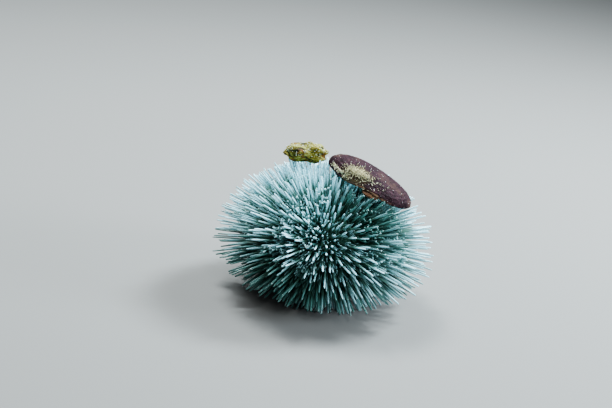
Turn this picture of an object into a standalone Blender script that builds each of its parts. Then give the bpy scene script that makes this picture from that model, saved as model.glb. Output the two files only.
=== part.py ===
"""West Indian sea egg, a round sea urchin, as a still life-size model.

The test, a round shell of plates, stands on its lower spines. Ten meridian sectors, five
ambulacra and five interambulacra, carry the spines. The apical disc and its periproct close
the top, and the mouth membrane with five teeth closes the underside. Two pieces of cover that
the animal wears, a shell and a fragment of rubble, lie on the spine tips.

Metres, +Z up from the mouth to the apical disc, the floor at z = 0, the front towards -Y.
"""

import bisect
import math
import random

import bmesh
import bpy
from mathutils import Matrix, Vector
from mathutils.bvhtree import BVHTree

# Room between neighbouring pieces, the merge distance, and the seed of every random draw
GAP = 0.0003
MERGE = 0.00001
SEED = 1801

# The test: a dome over a flattened underside. A fullness of 1 is an ellipse, and less is fuller.
TEST_RADIUS = 0.037
TEST_HEIGHT = 0.046
TEST_LIFT = 0.0135
AMBITUS_SHARE = 0.42
UPPER_FULLNESS = 0.88
LOWER_FULLNESS = 0.74
AMBITUS_HEIGHT = TEST_LIFT + AMBITUS_SHARE * TEST_HEIGHT
TEST_TOP = TEST_LIFT + TEST_HEIGHT
MERIDIAN_POINTS = 720
MERIDIAN_FACETS = 17
CUT_TOLERANCE = 1e-7

# The sectors, which alternate round the axis. The first ambulacrum is a little left of the front.
AMBULACRA = 5
AMBULACRUM_WIDTH = 28.8
INTERAMBULACRUM_WIDTH = 360 / AMBULACRA - AMBULACRUM_WIDTH
FIRST_AZIMUTH = -112.0
FACET_WIDTH = 7.2
SHAFT_RADIUS = 0.0022

# Spines, sized at the ambitus. They lean by chance, and stand between the normal and the radius
# from a point a little above the ambitus. They part along the middle of each band of pores.
SPINE_LENGTH = 0.0275
SPINE_RADIUS = 0.00070
SPINE_TIP_SHARE = 0.66
SPINE_SIDES = 3
SPINE_SPACING = 0.0039
SPINE_ROOT = 0.0014
SPINE_LEAN = 6.0
SIDE_ROOM = 0.0011
PLACE_VARIATION = 0.1
RADIAL_SHARE = 0.7
RADIAL_RISE = 0.0030
PORE_BAND_OFFSET = 10.7
PARTING_WIDTH = 7.0
PARTING_LEAN = 8.0
LENGTH_VARIATION = 0.13
UPPER_LENGTH_SHARE = 0.76
LOWER_LENGTH_SHARE = 0.62
ROW_STAGGER = 0.22

# Spines of the underside, stouter and blunter, splayed so that they carry the animal
STANDING_NORMAL = -0.35
STANDING_RADIUS = 0.00080
STANDING_TIP_SHARE = 0.62
STANDING_SPLAY = 0.16
STANDING_REACH = 0.0035
FLOOR_CLEARANCE = 0.0012
STUB_RADII = 4

# Apical disc with its genital plates, and the periproct in its middle
APICAL_RADIUS = 0.0066
APICAL_DEPTH = 0.0040
GENITAL_PLATES = 5
GENITAL_PLATE_RADIUS = 0.0016
GENITAL_PLATE_HEIGHT = 0.0005
GENITAL_PLATE_TOP_SHARE = 0.7
PERIPROCT_RADIUS = 0.0024
PERIPROCT_HEIGHT = 0.0009
APICAL_SPINE_LENGTH = 0.0075
APICAL_SPINE_RADIUS = 0.00045
APICAL_SPINE_PLACE = 0.82
APICAL_SPINE_TURN = 22.0
APICAL_SPINE_SPLAY = 0.25
RING_SEGMENTS = 30
PERIPROCT_SEGMENTS = 20

# Mouth membrane and teeth
PERISTOME_RADIUS = 0.0105
PERISTOME_DEPTH = 0.0034
PERISTOME_BULGE = 0.0012
MOUTH_RADIUS = 0.0032
TOOTH_WIDTH = 0.0019
TOOTH_THICKNESS = 0.0013
TOOTH_TIP_HEIGHT = 0.0088
TOOTH_TIP_SHARE = 0.4
TOOTH_KEEL_SHARE = 0.45
TOOTH_OFFSET = 0.0015
TOOTH_LEAN = 7.0

# The worn shell: an oval cap, hollow side down on the spine tips, sloping down to the right
SHELL_HALF_LENGTH = 0.0269
SHELL_HALF_WIDTH = 0.0178
SHELL_RISE = 0.0098
SHELL_THICKNESS = 0.0024
SHELL_CENTRE = Vector((0.0215, 0.0, 0.0728))
SHELL_SLOPE = 17.7
SHELL_TURN = -17.0
SHELL_DOMING = 0.8
SHELL_BEAK = 0.12
SHELL_OVAL_RELIEF = 0.05
SHELL_LOBE_RELIEF = 0.035
SHELL_ARCH_AZIMUTH = -82.0
SHELL_ARCH_WIDTH = 26.0
SHELL_ARCH_HEIGHT = 0.0026
SHELL_SEGMENTS = 28
SHELL_RINGS = 14

# The worn fragment of rubble, a flat lump just behind the top and to the left
RUBBLE_SIZE = Vector((0.0125, 0.0080, 0.0058))
RUBBLE_CENTRE = Vector((-0.0181, 0.0180, 0.0812))
RUBBLE_SLOPE = -4.0
RUBBLE_UNDERSIDE = 0.85
RUBBLE_BLUNTNESS = 3.0
RUBBLE_TAPER = 0.16
RUBBLE_LOBE_RELIEF = 0.08
RUBBLE_RELIEF = 0.13
RUBBLE_FINE_RELIEF = 0.08

# Spines under a worn piece stretch up to it, and those round it stay below a brim this wide
COVERED_REACH = 1.38
BRIM_SHARE = 1.10


def clear_scene():
    """Removes whatever the scene holds."""
    for old in list(bpy.data.objects):
        bpy.data.objects.remove(old)


def make_material(name, colour, roughness):
    """A Principled material of one colour."""
    material = bpy.data.materials.new(name)
    material.use_nodes = True
    shader = material.node_tree.nodes["Principled BSDF"]
    shader.inputs["Base Color"].default_value = (*colour, 1.0)
    shader.inputs["Roughness"].default_value = roughness
    shader.inputs["Metallic"].default_value = 0.0
    return material


def make_object(name, bm, collection, material=None):
    """Turns a bmesh into an object in a collection."""
    bmesh.ops.recalc_face_normals(bm, faces=bm.faces)
    mesh = bpy.data.meshes.new(name)
    bm.to_mesh(mesh)
    bm.free()
    made = bpy.data.objects.new(name, mesh)
    collection.objects.link(made)
    if material:
        mesh.materials.append(material)
    return made


def polar(radius, azimuth, height):
    """The point at a radius, an azimuth in degrees and a height."""
    turn = math.radians(azimuth)
    return Vector((radius * math.cos(turn), radius * math.sin(turn), height))


def outline_point(angle):
    """(radius, height) of the test's outline, a quarter turn above the ambitus being the top."""
    upper = angle >= 0
    fullness = UPPER_FULLNESS if upper else LOWER_FULLNESS
    rise = (TEST_TOP if upper else TEST_LIFT) - AMBITUS_HEIGHT
    radius = TEST_RADIUS * abs(math.cos(angle)) ** fullness
    return Vector((radius, AMBITUS_HEIGHT + rise * abs(math.sin(angle)) ** fullness))


class Meridian:
    """The test's outline from the top pole to the bottom pole, measured along its length."""

    def __init__(self):
        steps = range(MERIDIAN_POINTS + 1)
        self.points = [outline_point(math.pi * (0.5 - i / MERIDIAN_POINTS)) for i in steps]
        self.distances = [0.0]
        for a, b in zip(self.points, self.points[1:]):
            self.distances.append(self.distances[-1] + (b - a).length)

    def distance_of(self, radius, upper):
        """The distance from the top pole where the outline has this radius, above or below."""
        half = MERIDIAN_POINTS // 2
        indices = range(half) if upper else range(half, MERIDIAN_POINTS + 1)
        nearest = min(indices, key=lambda i: abs(self.points[i].x - radius))
        return self.distances[nearest]

    def at(self, distance):
        """The point (radius, height) at a distance from the top pole, and the normal there."""
        i = bisect.bisect(self.distances, distance)
        i = min(max(i, 1), MERIDIAN_POINTS)
        a, b = self.points[i - 1], self.points[i]
        share = (distance - self.distances[i - 1]) / (self.distances[i] - self.distances[i - 1])
        tangent = (b - a).normalized()
        return a.lerp(b, share), Vector((-tangent.y, tangent.x))


def sector_outline(meridian):
    """The closed outline of a sector's cut face, recessed for the apical disc and the mouth."""
    top = meridian.distance_of(APICAL_RADIUS + GAP, upper=True)
    bottom = meridian.distance_of(PERISTOME_RADIUS + GAP, upper=False)
    distances = [top + (bottom - top) * i / MERIDIAN_FACETS for i in range(MERIDIAN_FACETS + 1)]
    surface = [meridian.at(distance)[0] for distance in distances]
    seat = surface[0].y - APICAL_DEPTH
    ceiling = surface[-1].y + PERISTOME_DEPTH
    start = [Vector((SHAFT_RADIUS, seat)), Vector((surface[0].x, seat))]
    end = [Vector((surface[-1].x, ceiling)), Vector((SHAFT_RADIUS, ceiling))]
    return start + surface + end


def side_planes(azimuth, width):
    """Each side of a sector as a point and an outward normal, set back by half a gap."""
    planes = []
    for side in (-1, 1):
        edge = azimuth + side * width / 2
        outward = polar(1.0, edge + side * 90, 0.0)
        planes.append((-outward * GAP / 2, outward))
    return planes


def make_sector(name, azimuth, width, outline, collection, material):
    """A wedge of the test, swept about the axis and trimmed to its sides."""
    bm = bmesh.new()
    start = azimuth - width / 2
    corners = [bm.verts.new(polar(point.x, start, point.y)) for point in outline]
    face = bm.faces.new(corners)
    bmesh.ops.spin(
        bm,
        geom=[face, *face.edges, *face.verts],
        axis=(0, 0, 1),
        cent=(0, 0, 0),
        angle=math.radians(width),
        steps=round(width / FACET_WIDTH),
    )
    for point, outward in side_planes(azimuth, width):
        geometry = [*bm.verts, *bm.edges, *bm.faces]
        cut = bmesh.ops.bisect_plane(
            bm,
            geom=geometry,
            plane_co=point,
            plane_no=outward,
            clear_outer=True,
            dist=CUT_TOLERANCE,
        )
        edges = [item for item in cut["geom_cut"] if isinstance(item, bmesh.types.BMEdge)]
        bmesh.ops.edgenet_fill(bm, edges=edges)
    bmesh.ops.dissolve_degenerate(bm, dist=CUT_TOLERANCE, edges=bm.edges)
    return make_object(name, bm, collection, material)


def spine_mesh(root, direction, length, radius, tip_share, standing=False):
    """A straight tapered spine as a bmesh, its root sunk, its tip cut level if it stands."""
    bm = bmesh.new()
    depth = length + SPINE_ROOT
    middle = root + direction * (depth / 2 - SPINE_ROOT)
    place = Matrix.Translation(middle) @ direction.to_track_quat("Z", "Y").to_matrix().to_4x4()
    bmesh.ops.create_cone(
        bm,
        cap_ends=True,
        segments=SPINE_SIDES,
        radius1=radius,
        radius2=radius * tip_share,
        depth=depth,
        matrix=place,
    )
    if standing:
        for vertex in bm.verts:
            if (vertex.co - root).dot(direction) > length / 2:
                vertex.co -= direction * (vertex.co.z / direction.z)
    return bm


def length_share(normal):
    """How long a spine is where the test has this normal, against one at the ambitus."""
    end_share = UPPER_LENGTH_SHARE if normal.y >= 0 else LOWER_LENGTH_SHARE
    return 1.0 + (end_share - 1.0) * normal.y**2


class Cover:
    """A worn piece as the spines meet it: its own surface, and a wider brim round it."""

    def __init__(self, node):
        graph = bpy.context.evaluated_depsgraph_get()
        evaluated = node.evaluated_get(graph)
        bm = bmesh.new()
        bm.from_mesh(evaluated.to_mesh())
        evaluated.to_mesh_clear()
        bmesh.ops.transform(bm, matrix=node.matrix_world, verts=bm.verts)
        self.surface = BVHTree.FromBMesh(bm)
        wider = Matrix.Diagonal((BRIM_SHARE, BRIM_SHARE, 1.0, 1.0))
        bring = node.matrix_world @ wider @ node.matrix_world.inverted()
        bmesh.ops.transform(bm, matrix=bring, verts=bm.verts)
        self.brim = BVHTree.FromBMesh(bm)
        bm.free()

    def reach(self, root, direction, length):
        """A spine's length, stretched where that brings it up against the worn piece."""
        stretched = length * COVERED_REACH
        hit = self.surface.ray_cast(root, direction, stretched)
        return length if hit[0] is None else stretched

    def room(self, root, direction, length, radius):
        """The length that a spine may have before it comes within a gap of the worn piece."""
        step = radius / 2
        along = step
        while along <= length:
            point = root + direction * along
            for tree in (self.surface, self.brim):
                nearest = tree.find_nearest(point, radius + GAP)[0]
                if nearest is not None:
                    return along - 2 * step
            along += step
        return length


def keep_in_sector(root, direction, length, radius, planes):
    """Turns a spine's direction just enough to keep its tip between its sector's sides."""
    tip = root + direction * length
    for point, outward in planes:
        inside = (point - tip).dot(outward)
        if inside < radius:
            tip -= outward * (radius - inside)
    return (tip - root).normalized()


def spine_rows(meridian):
    """The distances down the meridian at which rows of spines stand."""
    top = meridian.distance_of(APICAL_RADIUS, upper=True) + SPINE_SPACING / 2
    bottom = meridian.distance_of(PERISTOME_RADIUS, upper=False) - SPINE_SPACING / 2
    count = round((bottom - top) / SPINE_SPACING)
    return [top + (bottom - top) * i / count for i in range(count + 1)]


def spines_of(meridian, azimuth, width, covers, draw):
    """Every spine of one sector, as bmeshes."""
    planes = side_planes(azimuth, width)
    for row, distance in enumerate(spine_rows(meridian)):
        point, normal = meridian.at(distance)
        across = math.radians(width) * point.x
        count = max(1, round(across / SPINE_SPACING))
        stagger = ROW_STAGGER * (1 if row % 2 else -1) if count > 1 else 0.0
        furthest = max(0.0, across / 2 - SIDE_ROOM)
        for i in range(count):
            share = (i + 0.5 + stagger + draw.uniform(-1, 1) * PLACE_VARIATION) / count - 0.5
            aside = min(max(share * across, -furthest), furthest)
            place = azimuth + math.degrees(aside / point.x)
            yield from one_spine(point, normal, place, planes, covers, draw)


def parting(azimuth):
    """How far a spine leans aside here, away from the middle of the nearest band of pores."""
    offset = (azimuth - FIRST_AZIMUTH) % (360 / AMBULACRA)
    bands = (PORE_BAND_OFFSET, 360 / AMBULACRA - PORE_BAND_OFFSET, 360 / AMBULACRA + PORE_BAND_OFFSET)
    beside = min((offset - band for band in (-PORE_BAND_OFFSET, *bands)), key=abs)
    fade = math.exp(-((beside / PARTING_WIDTH) ** 2))
    return math.copysign(fade, beside) * math.tan(math.radians(PARTING_LEAN))


def one_spine(point, normal, azimuth, planes, covers, draw):
    """The spine on this spot of the test, stopped by the floor or a worn piece, if it has room."""
    root = polar(point.x, azimuth, point.y)
    radial = (point - Vector((0.0, AMBITUS_HEIGHT + RADIAL_RISE))).normalized()
    lean = normal.lerp(radial, RADIAL_SHARE).normalized()
    outward = polar(lean.x, azimuth, lean.y)
    if normal.y < 0:
        outward += polar(STANDING_SPLAY * -normal.y, azimuth, 0.0)
    outward += polar(parting(azimuth), azimuth + 90, 0.0)
    outward.normalize()
    sideways = Vector((draw.gauss(0, 1), draw.gauss(0, 1), draw.gauss(0, 1)))
    sideways -= sideways.dot(outward) * outward
    direction = (outward + sideways * math.tan(math.radians(SPINE_LEAN)) / 2).normalized()
    length = SPINE_LENGTH * length_share(normal) * (1 + draw.uniform(-1, 1) * LENGTH_VARIATION)
    lower = normal.y < STANDING_NORMAL
    radius = STANDING_RADIUS if lower else SPINE_RADIUS
    tip_share = STANDING_TIP_SHARE if lower else SPINE_TIP_SHARE
    direction = keep_in_sector(root, direction, length, radius, planes)
    standing = False
    if direction.z < 0:
        to_floor = root.z / -direction.z
        standing = lower and to_floor < length + STANDING_REACH
        if standing:
            length = to_floor
        else:
            length = min(length, (root.z - FLOOR_CLEARANCE) / -direction.z)
    for cover in covers:
        length = cover.room(root, direction, cover.reach(root, direction, length), radius)
    if length > STUB_RADII * radius:
        yield spine_mesh(root, direction, length, radius, tip_share, standing)


def fuse(node, pieces):
    """Joins pieces, given as bmeshes, to a node in one union, and keeps its largest surface."""
    group = bpy.data.collections.new(node.name + "_pieces")
    bpy.context.scene.collection.children.link(group)
    for number, piece in enumerate(pieces):
        make_object(f"{node.name}_piece_{number}", piece, group)
    union = node.modifiers.new("Union", "BOOLEAN")
    union.operation = "UNION"
    union.operand_type = "COLLECTION"
    union.collection = group
    union.solver = "MANIFOLD"
    graph = bpy.context.evaluated_depsgraph_get()
    joined = bpy.data.meshes.new_from_object(node.evaluated_get(graph))
    node.modifiers.clear()
    node.data = joined
    for piece in list(group.objects):
        bpy.data.objects.remove(piece)
    bpy.data.collections.remove(group)
    keep_largest(node)


def keep_largest(node):
    """Removes every surface of a node but its largest."""
    bm = bmesh.new()
    bm.from_mesh(node.data)
    unseen = set(bm.verts)
    largest = set()
    while unseen:
        island, front = set(), [unseen.pop()]
        while front:
            vertex = front.pop()
            island.add(vertex)
            for edge in vertex.link_edges:
                other = edge.other_vert(vertex)
                if other in unseen:
                    unseen.discard(other)
                    front.append(other)
        if len(island) > len(largest):
            largest = island
    bmesh.ops.delete(bm, geom=[v for v in bm.verts if v not in largest], context="VERTS")
    bm.to_mesh(node.data)
    bm.free()


def turned(name, outline, segments, collection, material):
    """A profile of (radius, height) points, top to bottom down its outer side, with a Screw."""
    bm = bmesh.new()
    corners = [bm.verts.new((radius, 0, height)) for radius, height in outline]
    for pair in zip(corners, corners[1:]):
        bm.edges.new(pair)
    bmesh.ops.remove_doubles(bm, verts=bm.verts, dist=MERGE)
    made = make_object(name, bm, collection, material)
    screw = made.modifiers.new("Screw", "SCREW")
    screw.steps = segments
    screw.render_steps = segments
    screw.use_merge_vertices = True
    screw.merge_threshold = MERGE
    return made


def genital_plate(place):
    """One of the raised plates of the apical disc, as a bmesh centred on a place."""
    bm = bmesh.new()
    bmesh.ops.create_cone(
        bm,
        cap_ends=True,
        segments=6,
        radius1=GENITAL_PLATE_RADIUS,
        radius2=GENITAL_PLATE_RADIUS * GENITAL_PLATE_TOP_SHARE,
        depth=GENITAL_PLATE_HEIGHT * 3,
        matrix=Matrix.Translation(place),
    )
    return bm


def apical_pieces(rim_height, middle, draw):
    """The genital plates and the short spines beside them, as bmeshes."""
    for i in range(GENITAL_PLATES):
        azimuth = FIRST_AZIMUTH + (i + 0.5) * 360 / GENITAL_PLATES
        yield genital_plate(polar(middle, azimuth, TEST_TOP - GENITAL_PLATE_HEIGHT / 2))
        for side in (-1, 1):
            turn = azimuth + side * APICAL_SPINE_TURN
            root = polar(APICAL_RADIUS * APICAL_SPINE_PLACE, turn, rim_height)
            direction = polar(APICAL_SPINE_SPLAY, turn, 1.0).normalized()
            length = APICAL_SPINE_LENGTH * (1 + draw.uniform(-2, 2) * LENGTH_VARIATION)
            yield spine_mesh(root, direction, length, APICAL_SPINE_RADIUS, SPINE_TIP_SHARE)


def make_apical_disc(meridian, collection, material, draw):
    """The ring of genital plates at the top, with its short spines."""
    rim, _ = meridian.at(meridian.distance_of(APICAL_RADIUS, upper=True))
    floor = rim.y - APICAL_DEPTH + GAP
    inner = PERIPROCT_RADIUS + GAP
    middle = (APICAL_RADIUS + inner) / 2
    outline = [
        (inner, TEST_TOP),
        (middle, (rim.y + TEST_TOP) / 2 + GAP / 2),
        (APICAL_RADIUS, rim.y),
        (APICAL_RADIUS, floor),
        (inner, floor),
        (inner, TEST_TOP),
    ]
    disc = turned("apical_disc", outline, RING_SEGMENTS, collection, material)
    fuse(disc, apical_pieces(rim.y, middle, draw))
    return disc


def make_periproct(meridian, collection, material):
    """The plated membrane round the anus, a low dome inside the apical disc."""
    rim, _ = meridian.at(meridian.distance_of(APICAL_RADIUS, upper=True))
    floor = rim.y - APICAL_DEPTH + GAP
    outline = [
        (0, TEST_TOP + PERIPROCT_HEIGHT * 0.45),
        (PERIPROCT_RADIUS * 0.28, TEST_TOP + PERIPROCT_HEIGHT * 0.9),
        (PERIPROCT_RADIUS * 0.62, TEST_TOP + PERIPROCT_HEIGHT),
        (PERIPROCT_RADIUS, TEST_TOP),
        (PERIPROCT_RADIUS, floor),
        (0, floor),
    ]
    return turned("periproct", outline, PERIPROCT_SEGMENTS, collection, material)


def make_peristome(meridian, collection, material):
    """The mouth membrane, a bulging ring in the underside."""
    rim, _ = meridian.at(meridian.distance_of(PERISTOME_RADIUS, upper=False))
    ceiling = rim.y + PERISTOME_DEPTH - GAP
    outline = [
        (MOUTH_RADIUS, ceiling),
        (PERISTOME_RADIUS, ceiling),
        (PERISTOME_RADIUS, rim.y),
        (PERISTOME_RADIUS * 0.72, rim.y - PERISTOME_BULGE * 0.6),
        (MOUTH_RADIUS * 1.35, rim.y - PERISTOME_BULGE),
        (MOUTH_RADIUS, rim.y - PERISTOME_BULGE * 0.5),
        (MOUTH_RADIUS, ceiling),
    ]
    return turned("peristome", outline, RING_SEGMENTS, collection, material)


def make_tooth(name, azimuth, meridian, collection, material):
    """One of the five teeth: a keeled blade, rooted in the mouth's ceiling, its tip down."""
    rim, _ = meridian.at(meridian.distance_of(PERISTOME_RADIUS, upper=False))
    length = rim.y + PERISTOME_DEPTH - 2 * GAP - TOOTH_TIP_HEIGHT
    bm = bmesh.new()
    bmesh.ops.create_cube(bm, size=1.0)
    for vertex in bm.verts:
        taper = 1.0 if vertex.co.z > 0 else TOOTH_TIP_SHARE
        keel = TOOTH_KEEL_SHARE if vertex.co.x < 0 else 1.0
        vertex.co.x *= TOOTH_THICKNESS * taper
        vertex.co.y *= TOOTH_WIDTH * taper * keel
        vertex.co.z *= length
    lean = Matrix.Rotation(math.radians(TOOTH_LEAN), 4, "Y")
    place = Matrix.Translation((TOOTH_OFFSET, 0, TOOTH_TIP_HEIGHT + length / 2))
    turn = Matrix.Rotation(math.radians(azimuth), 4, "Z")
    bmesh.ops.transform(bm, matrix=turn @ place @ lean, verts=bm.verts)
    return make_object(name, bm, collection, material)


def make_cover_shell(collection, material):
    """The worn shell: an uneven oval cap with a solid wall, tilted to follow the spine tips."""
    bm = bmesh.new()
    bmesh.ops.create_uvsphere(
        bm, u_segments=SHELL_SEGMENTS, v_segments=SHELL_RINGS, radius=1.0
    )
    bmesh.ops.bisect_plane(
        bm,
        geom=[*bm.verts, *bm.edges, *bm.faces],
        plane_co=(0, 0, 0),
        plane_no=(0, 0, -1),
        clear_outer=True,
        dist=MERGE,
    )
    for vertex in bm.verts:
        turn = math.atan2(vertex.co.y, vertex.co.x)
        uneven = 1 + SHELL_OVAL_RELIEF * math.cos(2 * turn + 0.6)
        uneven += SHELL_LOBE_RELIEF * math.sin(3 * turn)
        rise = max(vertex.co.z, 0.0) ** SHELL_DOMING * (1 - SHELL_BEAK * vertex.co.x)
        vertex.co.x *= SHELL_HALF_LENGTH * uneven
        vertex.co.y *= SHELL_HALF_WIDTH * uneven
        away = (math.degrees(turn) - SHELL_ARCH_AZIMUTH) / SHELL_ARCH_WIDTH
        arch = SHELL_ARCH_HEIGHT * math.exp(-(away**2)) * max(0.0, 1.0 - 2.0 * vertex.co.z)
        vertex.co.z = SHELL_RISE * rise + arch
    shell = make_object("cover_shell", bm, collection, material)
    wall = shell.modifiers.new("Wall", "SOLIDIFY")
    wall.thickness = SHELL_THICKNESS
    wall.offset = -1.0
    shell.location = SHELL_CENTRE
    shell.rotation_euler = (0, math.radians(SHELL_SLOPE), math.radians(SHELL_TURN))
    return shell


def make_cover_rubble(collection, material):
    """The worn fragment: a flat lump of overgrown rubble with a knobbly surface."""
    bm = bmesh.new()
    bmesh.ops.create_icosphere(bm, subdivisions=3, radius=1.0)
    for vertex in bm.verts:
        across = math.hypot(vertex.co.x, vertex.co.y)
        blunt = across**RUBBLE_BLUNTNESS + abs(vertex.co.z) ** RUBBLE_BLUNTNESS
        x, y, z = vertex.co / blunt ** (1 / RUBBLE_BLUNTNESS)
        z *= 1 + RUBBLE_TAPER * x
        size = 1 + RUBBLE_RELIEF * math.sin(5.1 * x + 1.3) * math.cos(4.3 * y)
        size += RUBBLE_FINE_RELIEF * math.sin(7.7 * x * z + 3 * y)
        size += RUBBLE_LOBE_RELIEF * across * math.sin(3 * math.atan2(y, x) + 0.6)
        flat = RUBBLE_UNDERSIDE if z < 0 else 1.0
        vertex.co = Vector((x, y, z * flat)) * RUBBLE_SIZE * size
    rubble = make_object("cover_rubble", bm, collection, material)
    rubble.location = RUBBLE_CENTRE
    rubble.rotation_euler = (0, math.radians(RUBBLE_SLOPE), 0)
    return rubble


def centre_on_origin(nodes):
    """Moves the whole animal level until its box is centred on the origin."""
    bpy.context.view_layer.update()
    graph = bpy.context.evaluated_depsgraph_get()
    corners = []
    for node in nodes:
        evaluated = node.evaluated_get(graph)
        mesh = evaluated.to_mesh()
        corners += [evaluated.matrix_world @ vertex.co for vertex in mesh.vertices]
        evaluated.to_mesh_clear()
    for axis in (0, 1):
        values = [corner[axis] for corner in corners]
        middle = (min(values) + max(values)) / 2
        for node in nodes:
            node.location[axis] -= middle


def main():
    """Builds the whole animal."""
    clear_scene()
    animal = bpy.data.collections.new("sea_egg")
    bpy.context.scene.collection.children.link(animal)
    draw = random.Random(SEED)
    meridian = Meridian()

    pale_spines = make_material("pale_spines", (0.62, 0.74, 0.74), 0.45)
    tube_foot_bands = make_material("tube_foot_bands", (0.50, 0.66, 0.65), 0.5)
    disc_plates = make_material("disc_plates", (0.30, 0.36, 0.28), 0.6)
    mouth_skin = make_material("mouth_skin", (0.36, 0.30, 0.24), 0.6)
    tooth_white = make_material("tooth_white", (0.85, 0.84, 0.78), 0.3)
    shell_brown = make_material("shell_brown", (0.17, 0.11, 0.12), 0.7)
    rubble_yellow = make_material("rubble_yellow", (0.42, 0.38, 0.09), 0.8)

    shell = make_cover_shell(animal, shell_brown)
    rubble = make_cover_rubble(animal, rubble_yellow)
    bpy.context.view_layer.update()
    covers = [Cover(shell), Cover(rubble)]
    nodes = [shell, rubble]

    outline = sector_outline(meridian)
    for i in range(AMBULACRA):
        azimuth = FIRST_AZIMUTH + i * 360 / AMBULACRA
        between = azimuth + 180 / AMBULACRA
        kinds = (
            (f"ambulacrum_{i + 1}", azimuth, AMBULACRUM_WIDTH, tube_foot_bands),
            (f"interambulacrum_{i + 1}", between, INTERAMBULACRUM_WIDTH, pale_spines),
        )
        for name, centre, width, material in kinds:
            sector = make_sector(name, centre, width, outline, animal, material)
            fuse(sector, spines_of(meridian, centre, width, covers, draw))
            nodes.append(sector)

    nodes.append(make_apical_disc(meridian, animal, disc_plates, draw))
    nodes.append(make_periproct(meridian, animal, disc_plates))
    nodes.append(make_peristome(meridian, animal, mouth_skin))
    for i in range(AMBULACRA):
        azimuth = FIRST_AZIMUTH + (i + 0.5) * 360 / AMBULACRA
        nodes.append(make_tooth(f"tooth_{i + 1}", azimuth, meridian, animal, tooth_white))
    centre_on_origin(nodes)


main()
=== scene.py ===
"""A West Indian sea egg, a round sea urchin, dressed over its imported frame.

The skin of the test, its coat of primary and secondary spines, tube feet and pedicellariae,
the apical disc, the mouth with its teeth, and the two worn pieces that lie on the spine tips
are built here in metres, +Z up, on the frame's own axis.
"""

import logging
import math
import random
from collections.abc import Iterator
from dataclasses import dataclass, field
from enum import Enum

import bmesh
import bpy
import numpy as np
from bmesh.types import BMEdge, BMesh, BMVert
from bpy.types import ID, Material, Mesh, Node, NodeSocket, Object
from mathutils import Matrix, Vector, noise
from mathutils.bvhtree import BVHTree


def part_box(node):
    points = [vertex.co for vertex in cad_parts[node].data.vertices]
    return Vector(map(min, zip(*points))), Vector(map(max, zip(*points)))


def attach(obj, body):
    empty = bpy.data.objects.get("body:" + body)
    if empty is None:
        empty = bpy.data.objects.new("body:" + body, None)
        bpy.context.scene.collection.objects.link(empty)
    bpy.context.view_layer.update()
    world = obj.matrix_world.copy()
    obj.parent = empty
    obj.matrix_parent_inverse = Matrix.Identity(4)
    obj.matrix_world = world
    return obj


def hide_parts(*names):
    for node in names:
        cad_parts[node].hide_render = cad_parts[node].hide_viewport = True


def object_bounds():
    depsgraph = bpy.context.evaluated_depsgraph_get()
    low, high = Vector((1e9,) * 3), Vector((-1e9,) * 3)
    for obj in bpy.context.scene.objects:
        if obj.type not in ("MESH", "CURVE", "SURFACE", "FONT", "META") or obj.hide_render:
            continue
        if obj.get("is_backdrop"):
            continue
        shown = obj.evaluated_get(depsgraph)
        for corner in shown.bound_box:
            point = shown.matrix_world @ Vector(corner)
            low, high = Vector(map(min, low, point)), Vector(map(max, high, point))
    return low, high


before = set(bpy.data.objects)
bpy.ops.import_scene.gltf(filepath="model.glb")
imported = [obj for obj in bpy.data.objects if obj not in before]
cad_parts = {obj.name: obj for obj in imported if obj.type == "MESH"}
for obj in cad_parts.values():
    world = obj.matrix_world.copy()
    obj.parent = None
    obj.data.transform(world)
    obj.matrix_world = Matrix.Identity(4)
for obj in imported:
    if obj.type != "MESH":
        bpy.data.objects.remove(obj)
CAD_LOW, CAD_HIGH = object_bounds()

BODY = "root"
SEED = 1801
LOG = logging.getLogger("sea_egg")

# Lengths are in metres and turns in degrees, here and in every class
GAP = 0.0003
MERGE = 0.00001
AMBULACRA = 5
RAY_TURN = 360.0 / AMBULACRA
BETWEEN_TURN = RAY_TURN / 2
FIRST_AZIMUTH = -112.0
AMBULACRUM_WIDTH = 28.8
INTERAMBULACRUM_WIDTH = 43.2
ROUND = {"axis": (0, 0, 1), "cent": (0, 0, 0)}
SECTORS = ((0.0, AMBULACRUM_WIDTH), (BETWEEN_TURN, INTERAMBULACRUM_WIDTH))
PORE_BAND = 10.7
PORE_BAND_WIDTH = 7.4
FOOT_BAND_WIDTH = 12.0
APICAL_RADIUS = 0.0066
PERISTOME_RADIUS = 0.0105

# One copy's share of the unwrap, and how far a pattern may be shifted along a copy
PATCH_SIZE = 0.003
PATTERN_SHIFT = 50.0

Colour = tuple[float, float, float]
Point = tuple[float, float, float]
Pair = tuple[float, float]
Stops = tuple[tuple[float, Colour], ...]
Rings = tuple[Pair, ...]


class Slot(Enum):
    """The record's material slots."""

    SPINES = "pale_spines"
    BANDS = "tube_foot_bands"
    DISC = "disc_plates"
    MOUTH = "mouth_skin"
    TOOTH = "tooth_white"
    SHELL = "shell_brown"
    RUBBLE = "rubble_yellow"


class Zone(Enum):
    """A strip of the test, as (offset from an ambulacrum's middle, width)."""

    MIDDLE = (0.0, 14.0)
    LEFT_PORES = (-PORE_BAND, FOOT_BAND_WIDTH)
    RIGHT_PORES = (PORE_BAND, FOOT_BAND_WIDTH)
    BETWEEN = (BETWEEN_TURN, INTERAMBULACRUM_WIDTH)


# Small shared tools


def polar(radius: float, azimuth: float, height: float) -> Vector:
    """Gives a point by its place round the axis.

    Args:
        radius: Distance from the axis, in metres.
        azimuth: Turn about the axis, in degrees.
        height: Height, in metres.

    Returns:
        The point.
    """
    turn = math.radians(azimuth)
    return Vector((radius * math.cos(turn), radius * math.sin(turn), height))


def smooth_share(value: np.ndarray | float, low: float, high: float) -> np.ndarray | float:
    """Gives a smooth step from 0 at low to 1 at high.

    Args:
        value: One number or an array.
        low: Where the step starts.
        high: Where the step ends.

    Returns:
        The share, of the same kind as value.
    """
    share = np.clip((value - low) / (high - low), 0.0, 1.0)
    return share * share * (3.0 - 2.0 * share)


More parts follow.
